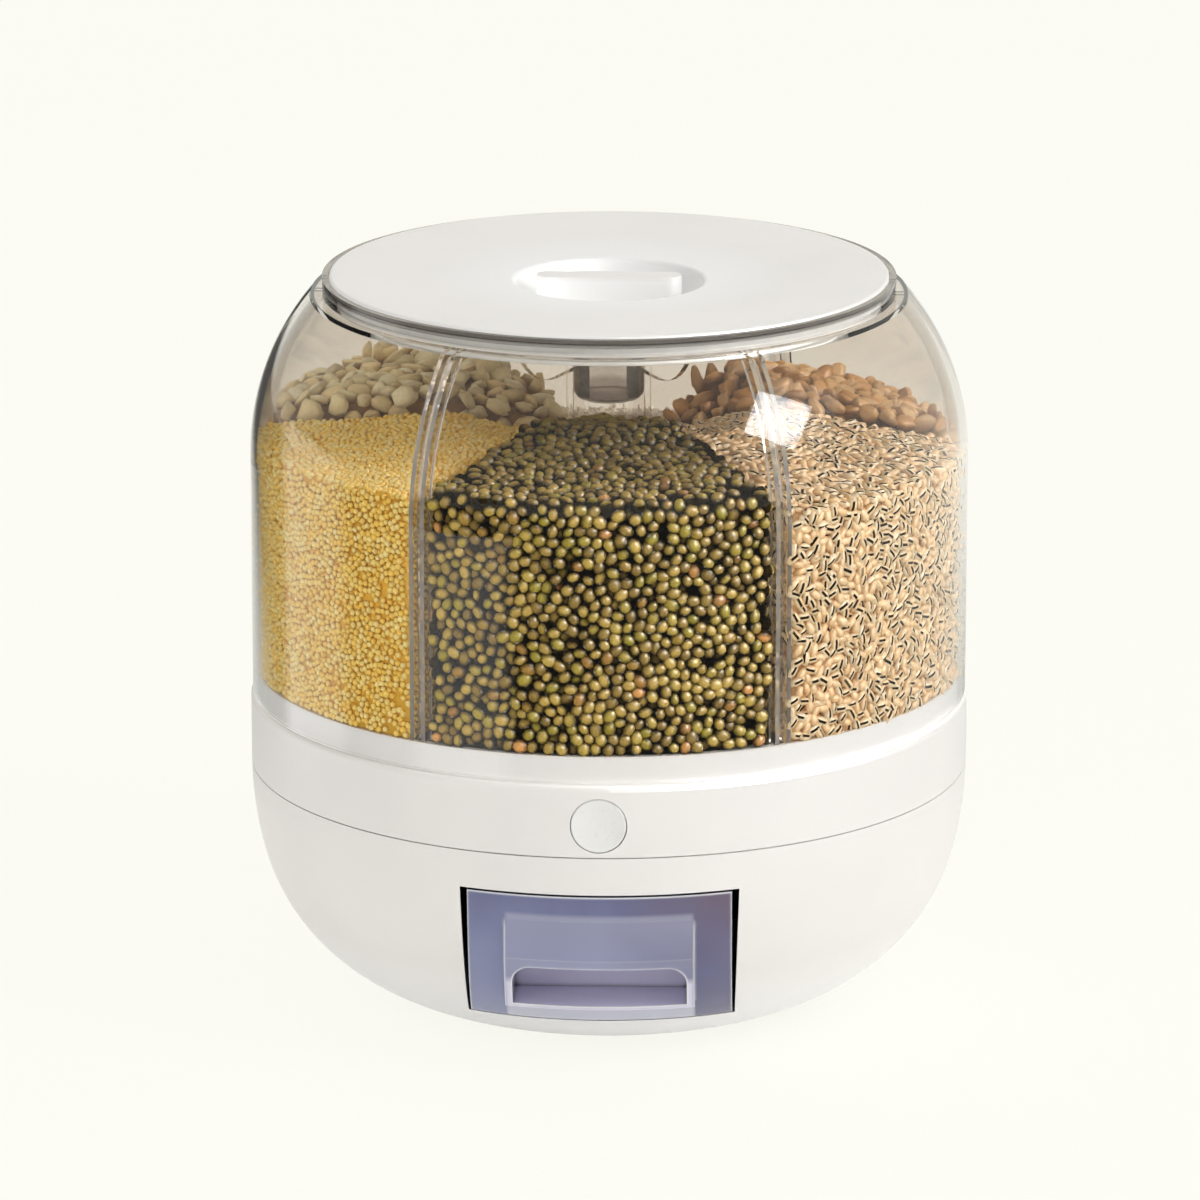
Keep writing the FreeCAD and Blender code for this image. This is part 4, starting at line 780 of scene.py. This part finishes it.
def pour(kind):
    """One compartment's grain as a single piece: loose grain over a closed core."""
    grain, heap = KINDS[kind], Heap(kind)
    generator = np.random.default_rng(heap.seed)
    centres = heap.pack(grain, generator)
    axes = lay(heap.normals(centres), grain.flat, generator)
    spread = grain.spread * generator.normal(size=(len(centres), 1)).clip(-1.6, 1.6)
    sizes = grain.swell * grain.half * (1 + spread)
    sizes = sizes * (1 + 0.05 * generator.normal(size=sizes.shape).clip(-2, 2))
    tones = generator.random(len(centres))
    variants = generator.integers(0, VARIANTS, len(centres))
    near = heap.depths(centres).min(0) < grain.half[2] + grain.pitch * NEAR
    groups = [
        (shape, chosen & (variants == variant))
        for shape, chosen in zip(grain.shapes, (near, ~near))
        for variant in range(VARIANTS)
    ]
    all_points, all_triangles, all_tones, all_own = [], [], [], []
    start = 0
    for (unit, triangles), chosen in groups:
        form = kernels(boxy(unit, grain.power), grain.cuts, generator)
        local = form[None, :, :] * sizes[chosen][:, None, :]
        placed = np.einsum("gvk,gkc->gvc", local, axes[chosen]) + centres[chosen][:, None, :]
        count = int(chosen.sum())
        offsets = start + np.arange(count)[:, None, None] * len(unit)
        all_points.append(placed.reshape(-1, 3))
        all_triangles.append((triangles[None] + offsets).reshape(-1, 3))
        all_tones.append(np.repeat(tones[chosen], len(unit)))
        all_own.append(np.tile(unit, (count, 1)))
        start += count * len(unit)
    loose_faces = sum(len(part) for part in all_triangles)
    core_points, core_triangles = heap.core(grain.bed * (grain.half[2] * 1.3 + grain.pitch * 0.25))
    all_points.append(core_points)
    all_triangles.append(core_triangles + start)
    all_tones.append(np.zeros(len(core_points)))
    all_own.append(np.zeros((len(core_points), 3)))
    points = np.concatenate(all_points)
    # Points darken with depth below the heap's surface: painted shade, kept in the Deep attribute
    below = heap.depths(points).min(0) - grain.half[2] * grain.shade
    deep = np.clip(below / (grain.half[2] * 1.4), 0, 1)
    turned = points.copy()
    cosine, sine = math.cos(heap.angle), math.sin(heap.angle)
    turned[:, 0] = points[:, 0] * cosine - points[:, 1] * sine
    turned[:, 1] = points[:, 0] * sine + points[:, 1] * cosine
    gap = GAP_SHADES[kind]
    marks = (EYES.get(kind), CREASE_SHADES.get(kind), grain.rim_shade, grain.top_shade)
    loose = seeds(kind, TONES[kind], gap, *marks, gloss=grain.gloss)
    # The closed core under the loose grain takes the colour of the gaps: a painted shade sheet
    under_tones = ((0.0, gap), (0.5, [0.8 * c for c in gap]), (1.0, gap))
    under = seeds(kind + "_shade", under_tones, [0.9 * c for c in gap], fine_scale=700.0)
    triangles = np.concatenate(all_triangles)
    piece = mesh_piece("heap_" + kind, turned * MM, triangles, [loose, under], "barrel")
    mesh = piece.data
    for label, values in (("Tone", np.concatenate(all_tones)), ("Deep", deep)):
        attribute = mesh.attributes.new(label, "FLOAT", "POINT")
        attribute.data.foreach_set("value", values.astype(np.float32))
    own = mesh.attributes.new("Own", "FLOAT_VECTOR", "POINT")
    own.data.foreach_set("vector", np.concatenate(all_own).astype(np.float32).ravel())
    numbers = np.zeros(len(triangles), np.int32)
    numbers[loose_faces:] = 1
    mesh.polygons.foreach_set("material_index", numbers)
    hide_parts("grain_" + kind)


for kind in KINDS:
    pour(kind)


# Return springs

SPRING_ASIDE = 17.0
SPRING_HIGH = 94.6
SPRING_RADIUS = 2.1
SPRING_WIRE = 0.8
SPRING_TURNS = 9
SPRING_INSET = 0.1
STEPS_IN_A_TURN = 20
WIRE_SIDES = 8
PITCH_WAVE = 0.063


def spring(name, centre_x, start, end):
    """A coil spring along Y as one closed tube, its coils a little wider set at its ends and middle."""
    steps = SPRING_TURNS * STEPS_IN_A_TURN
    points, triangles = [], []
    for step in range(steps + 1):
        share = step / steps
        angle = share * SPRING_TURNS * 2 * math.pi
        eased = share + PITCH_WAVE * math.sin(4 * math.pi * share) / (4 * math.pi)
        along = start + SPRING_WIRE / 2 + (end - start - SPRING_WIRE) * eased
        for side in range(WIRE_SIDES):
            around = side / WIRE_SIDES * 2 * math.pi
            reach = SPRING_RADIUS + SPRING_WIRE / 2 * math.cos(around)
            points.append((
                centre_x + reach * math.cos(angle),
                along + SPRING_WIRE / 2 * math.sin(around),
                SPRING_HIGH + reach * math.sin(angle),
            ))
    for step in range(steps):
        for side in range(WIRE_SIDES):
            a, b = step * WIRE_SIDES + side, step * WIRE_SIDES + (side + 1) % WIRE_SIDES
            triangles += quad(a, b, b + WIRE_SIDES, a + WIRE_SIDES)
    for base, flip in ((0, False), (steps * WIRE_SIDES, True)):
        for side in range(1, WIRE_SIDES - 1):
            face = (base, base + side + 1, base + side)
            triangles.append(face[::-1] if flip else face)
    return mesh_piece(name, np.array(points) * MM, triangles, [SPRING], "base")


low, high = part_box("gate_springs")
for label, centre in (("left", -SPRING_ASIDE), ("right", SPRING_ASIDE)):
    start, end = low[1] / MM + SPRING_INSET, high[1] / MM - SPRING_INSET / 2
    coil = spring(f"gate_spring_{label}", centre, start, end)
    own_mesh(coil)
    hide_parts("gate_springs")


# Stage, light and camera

PAPER = (0.982, 0.982, 0.913)
PAPER_GLOW = (0.996, 0.996, 0.926, 1)
FLOOR_RADIUS = 3
FLOOR_CORNERS = 96

# The camera looks at AIM from DISTANCE away, raised by RISE and turned by TURN. Its shifts are in
# pixels of the photograph.
AIM = Vector((0, 0, 0.118))
DISTANCE, RISE, TURN = 2.4, math.radians(15.73), math.radians(1.62)
LENS = 224.26
SHIFT_ACROSS, SHIFT_UP = -9.1, 29.8


def floor():
    """A round pale floor whose camera view is mostly the paper's own colour."""
    points = [(0, 0, 0)]
    triangles = []
    for corner in range(FLOOR_CORNERS):
        angle = corner * 2 * math.pi / FLOOR_CORNERS
        points.append((FLOOR_RADIUS * math.cos(angle), FLOOR_RADIUS * math.sin(angle), 0))
        triangles.append((0, 1 + corner, 1 + (corner + 1) % FLOOR_CORNERS))
    mesh = bpy.data.meshes.new("floor")
    mesh.from_pydata(points, [], triangles)
    made = bpy.data.objects.new("floor", mesh)
    bpy.context.scene.collection.objects.link(made)
    paper = bpy.data.materials.new("paper")
    nodes = Nodes(paper)
    flecks = nodes.noise(300.0)
    tone = nodes.ramp(flecks, (0.3, (0.93, 0.93, 0.90)), (0.7, (0.95, 0.95, 0.92)))
    matt = nodes.add("ShaderNodeBsdfDiffuse", ("Color", tone)).outputs[0]
    glow = nodes.add("ShaderNodeEmission", ("Color", PAPER_GLOW), ("Strength", 1.0)).outputs[0]
    rays = nodes.add("ShaderNodeLightPath").outputs
    direct = nodes.math("MAXIMUM", rays["Is Camera Ray"], rays["Is Transmission Ray"])
    surface = nodes.blend(nodes.product(direct, 0.9), matt, glow)
    place = nodes.place()
    aside, back, _ = nodes.axes(place)
    away = nodes.add("ShaderNodeVectorMath", (0, place), operation="LENGTH").outputs["Value"]
    behind = nodes.product(nodes.rise(back, (-0.3, 0.6)), nodes.rise(aside, (-0.42, -0.22)))
    bright = nodes.math("MAXIMUM", behind, nodes.fall(away, (0.25, 0.40)))
    mirrored = nodes.mix(bright, (0.05, 0.05, 0.05), PAPER)
    shine = nodes.add("ShaderNodeEmission", ("Color", mirrored), ("Strength", 1.0)).outputs[0]
    nodes.finish(nodes.blend(nodes.product(rays["Is Glossy Ray"], 0.95), surface, shine))
    mesh.materials.append(paper)


def studio():
    """A pale backdrop that gives even light, and that gloss sees dark in front and at the left."""
    world = bpy.data.worlds.new("studio")
    bpy.context.scene.world = world
    nodes = Nodes(world)
    rays = nodes.add("ShaderNodeLightPath").outputs
    aside, towards, _ = nodes.axes(nodes.add("ShaderNodeTexCoord").outputs["Generated"])
    back = nodes.span(towards, 0.08, 1.0, -0.6, 0.5)
    behind = nodes.product(back, nodes.span(aside, 0.08, 1.0, -0.62, -0.30))
    direct = nodes.math("MAXIMUM", rays["Is Camera Ray"], rays["Is Transmission Ray"])
    shown = nodes.math("MAXIMUM", direct, nodes.product(rays["Is Glossy Ray"], behind))
    ambient = nodes.mix(rays["Is Glossy Ray"], (0.725, 0.715, 0.705), (0.07, 0.07, 0.07))
    sky = nodes.mix(shown, ambient, PAPER)
    backdrop = nodes.add("ShaderNodeBackground", ("Color", sky), ("Strength", 1.0)).outputs[0]
    nodes.finish(backdrop, "ShaderNodeOutputWorld")


def panel(name, place, target, size, radiance, roll=0.0, diffuse=True):
    """A soft light panel that faces a point. Its power follows from how bright its face is."""
    light = bpy.data.lights.new(name, "AREA")
    light.shape = "RECTANGLE"
    light.size, light.size_y = size
    light.energy = math.pi * radiance * size[0] * size[1]
    lamp = bpy.data.objects.new(name, light)
    lamp.location = place
    lamp.rotation_euler = (Vector(target) - Vector(place)).to_track_quat("-Z", "Y").to_euler()
    lamp.rotation_euler.rotate_axis("Z", roll)
    lamp.visible_camera = False
    lamp.visible_diffuse = diffuse
    bpy.context.scene.collection.objects.link(lamp)
    return lamp


def low_panel(name, ends, height, radiance):
    """Nested upright panels over two points of the floor, seen as a soft gloss, mostly on the barrel."""
    cosine, sine = math.cos(TURN), math.sin(TURN)
    (x0, y0), (x1, y1) = [(x * cosine - y * sine, x * sine + y * cosine) for x, y in ends]
    middle = ((x0 + x1) / 2, (y0 + y1) / 2, height / 2)
    facing = (middle[0] + (y1 - y0), middle[1] - (x1 - x0), height / 2)
    width = math.hypot(x1 - x0, y1 - y0)
    shares = (1.1, 0.95, 0.8)
    for number, share in enumerate(shares):
        behind = tuple(m + (m - f) * 0.01 * number for m, f in zip(middle, facing))
        size = (width * share, height)
        panel(f"{name}_{number}", behind, facing, size, radiance / len(shares), diffuse=False)


floor()
studio()

# The key light, and the small window whose image shines on the dome
KEY_PLACE, KEY_TARGET, KEY_SIZE = (1.24, -0.645, 0.935), (0.055, -0.09, 0.212), (0.5, 0.5)
KEY_ROLL = math.radians(45)
panel("key", KEY_PLACE, KEY_TARGET, KEY_SIZE, 10.0, roll=KEY_ROLL)
panel("key_gloss", KEY_PLACE, KEY_TARGET, KEY_SIZE, 320.0, roll=KEY_ROLL, diffuse=False)

fill = panel("fill", (-1.0, -1.25, 0.4), (0, 0, 0.17), (0.6, 0.6), 2.3)
fill.visible_glossy = False
fill.visible_transmission = False

low_panel("band_front", ((-0.1905, -0.3644), (-0.3364, -0.2179)), 0.115, 0.9)
low_panel("band_side", ((-0.383, -0.0571), (-0.3392, 0.1346)), 0.2, 0.9)

camera_data = bpy.data.cameras.new("camera")
camera = bpy.data.objects.new("camera", camera_data)
bpy.context.scene.collection.objects.link(camera)
bpy.context.scene.camera = camera
way_back = Vector((math.sin(TURN) * math.cos(RISE), -math.cos(TURN) * math.cos(RISE), math.sin(RISE)))
camera.location = AIM + DISTANCE * way_back
camera.rotation_euler = (-way_back).to_track_quat("-Z", "Y").to_euler()
camera_data.sensor_width = 36
camera_data.lens = LENS
camera_data.shift_x = SHIFT_ACROSS / PHOTO
camera_data.shift_y = SHIFT_UP / PHOTO
camera_data.clip_start = 0.05
camera_data.clip_end = 20

scene = bpy.context.scene
scene.view_settings.view_transform = "Standard"
scene.cycles.transparent_max_bounces = 32
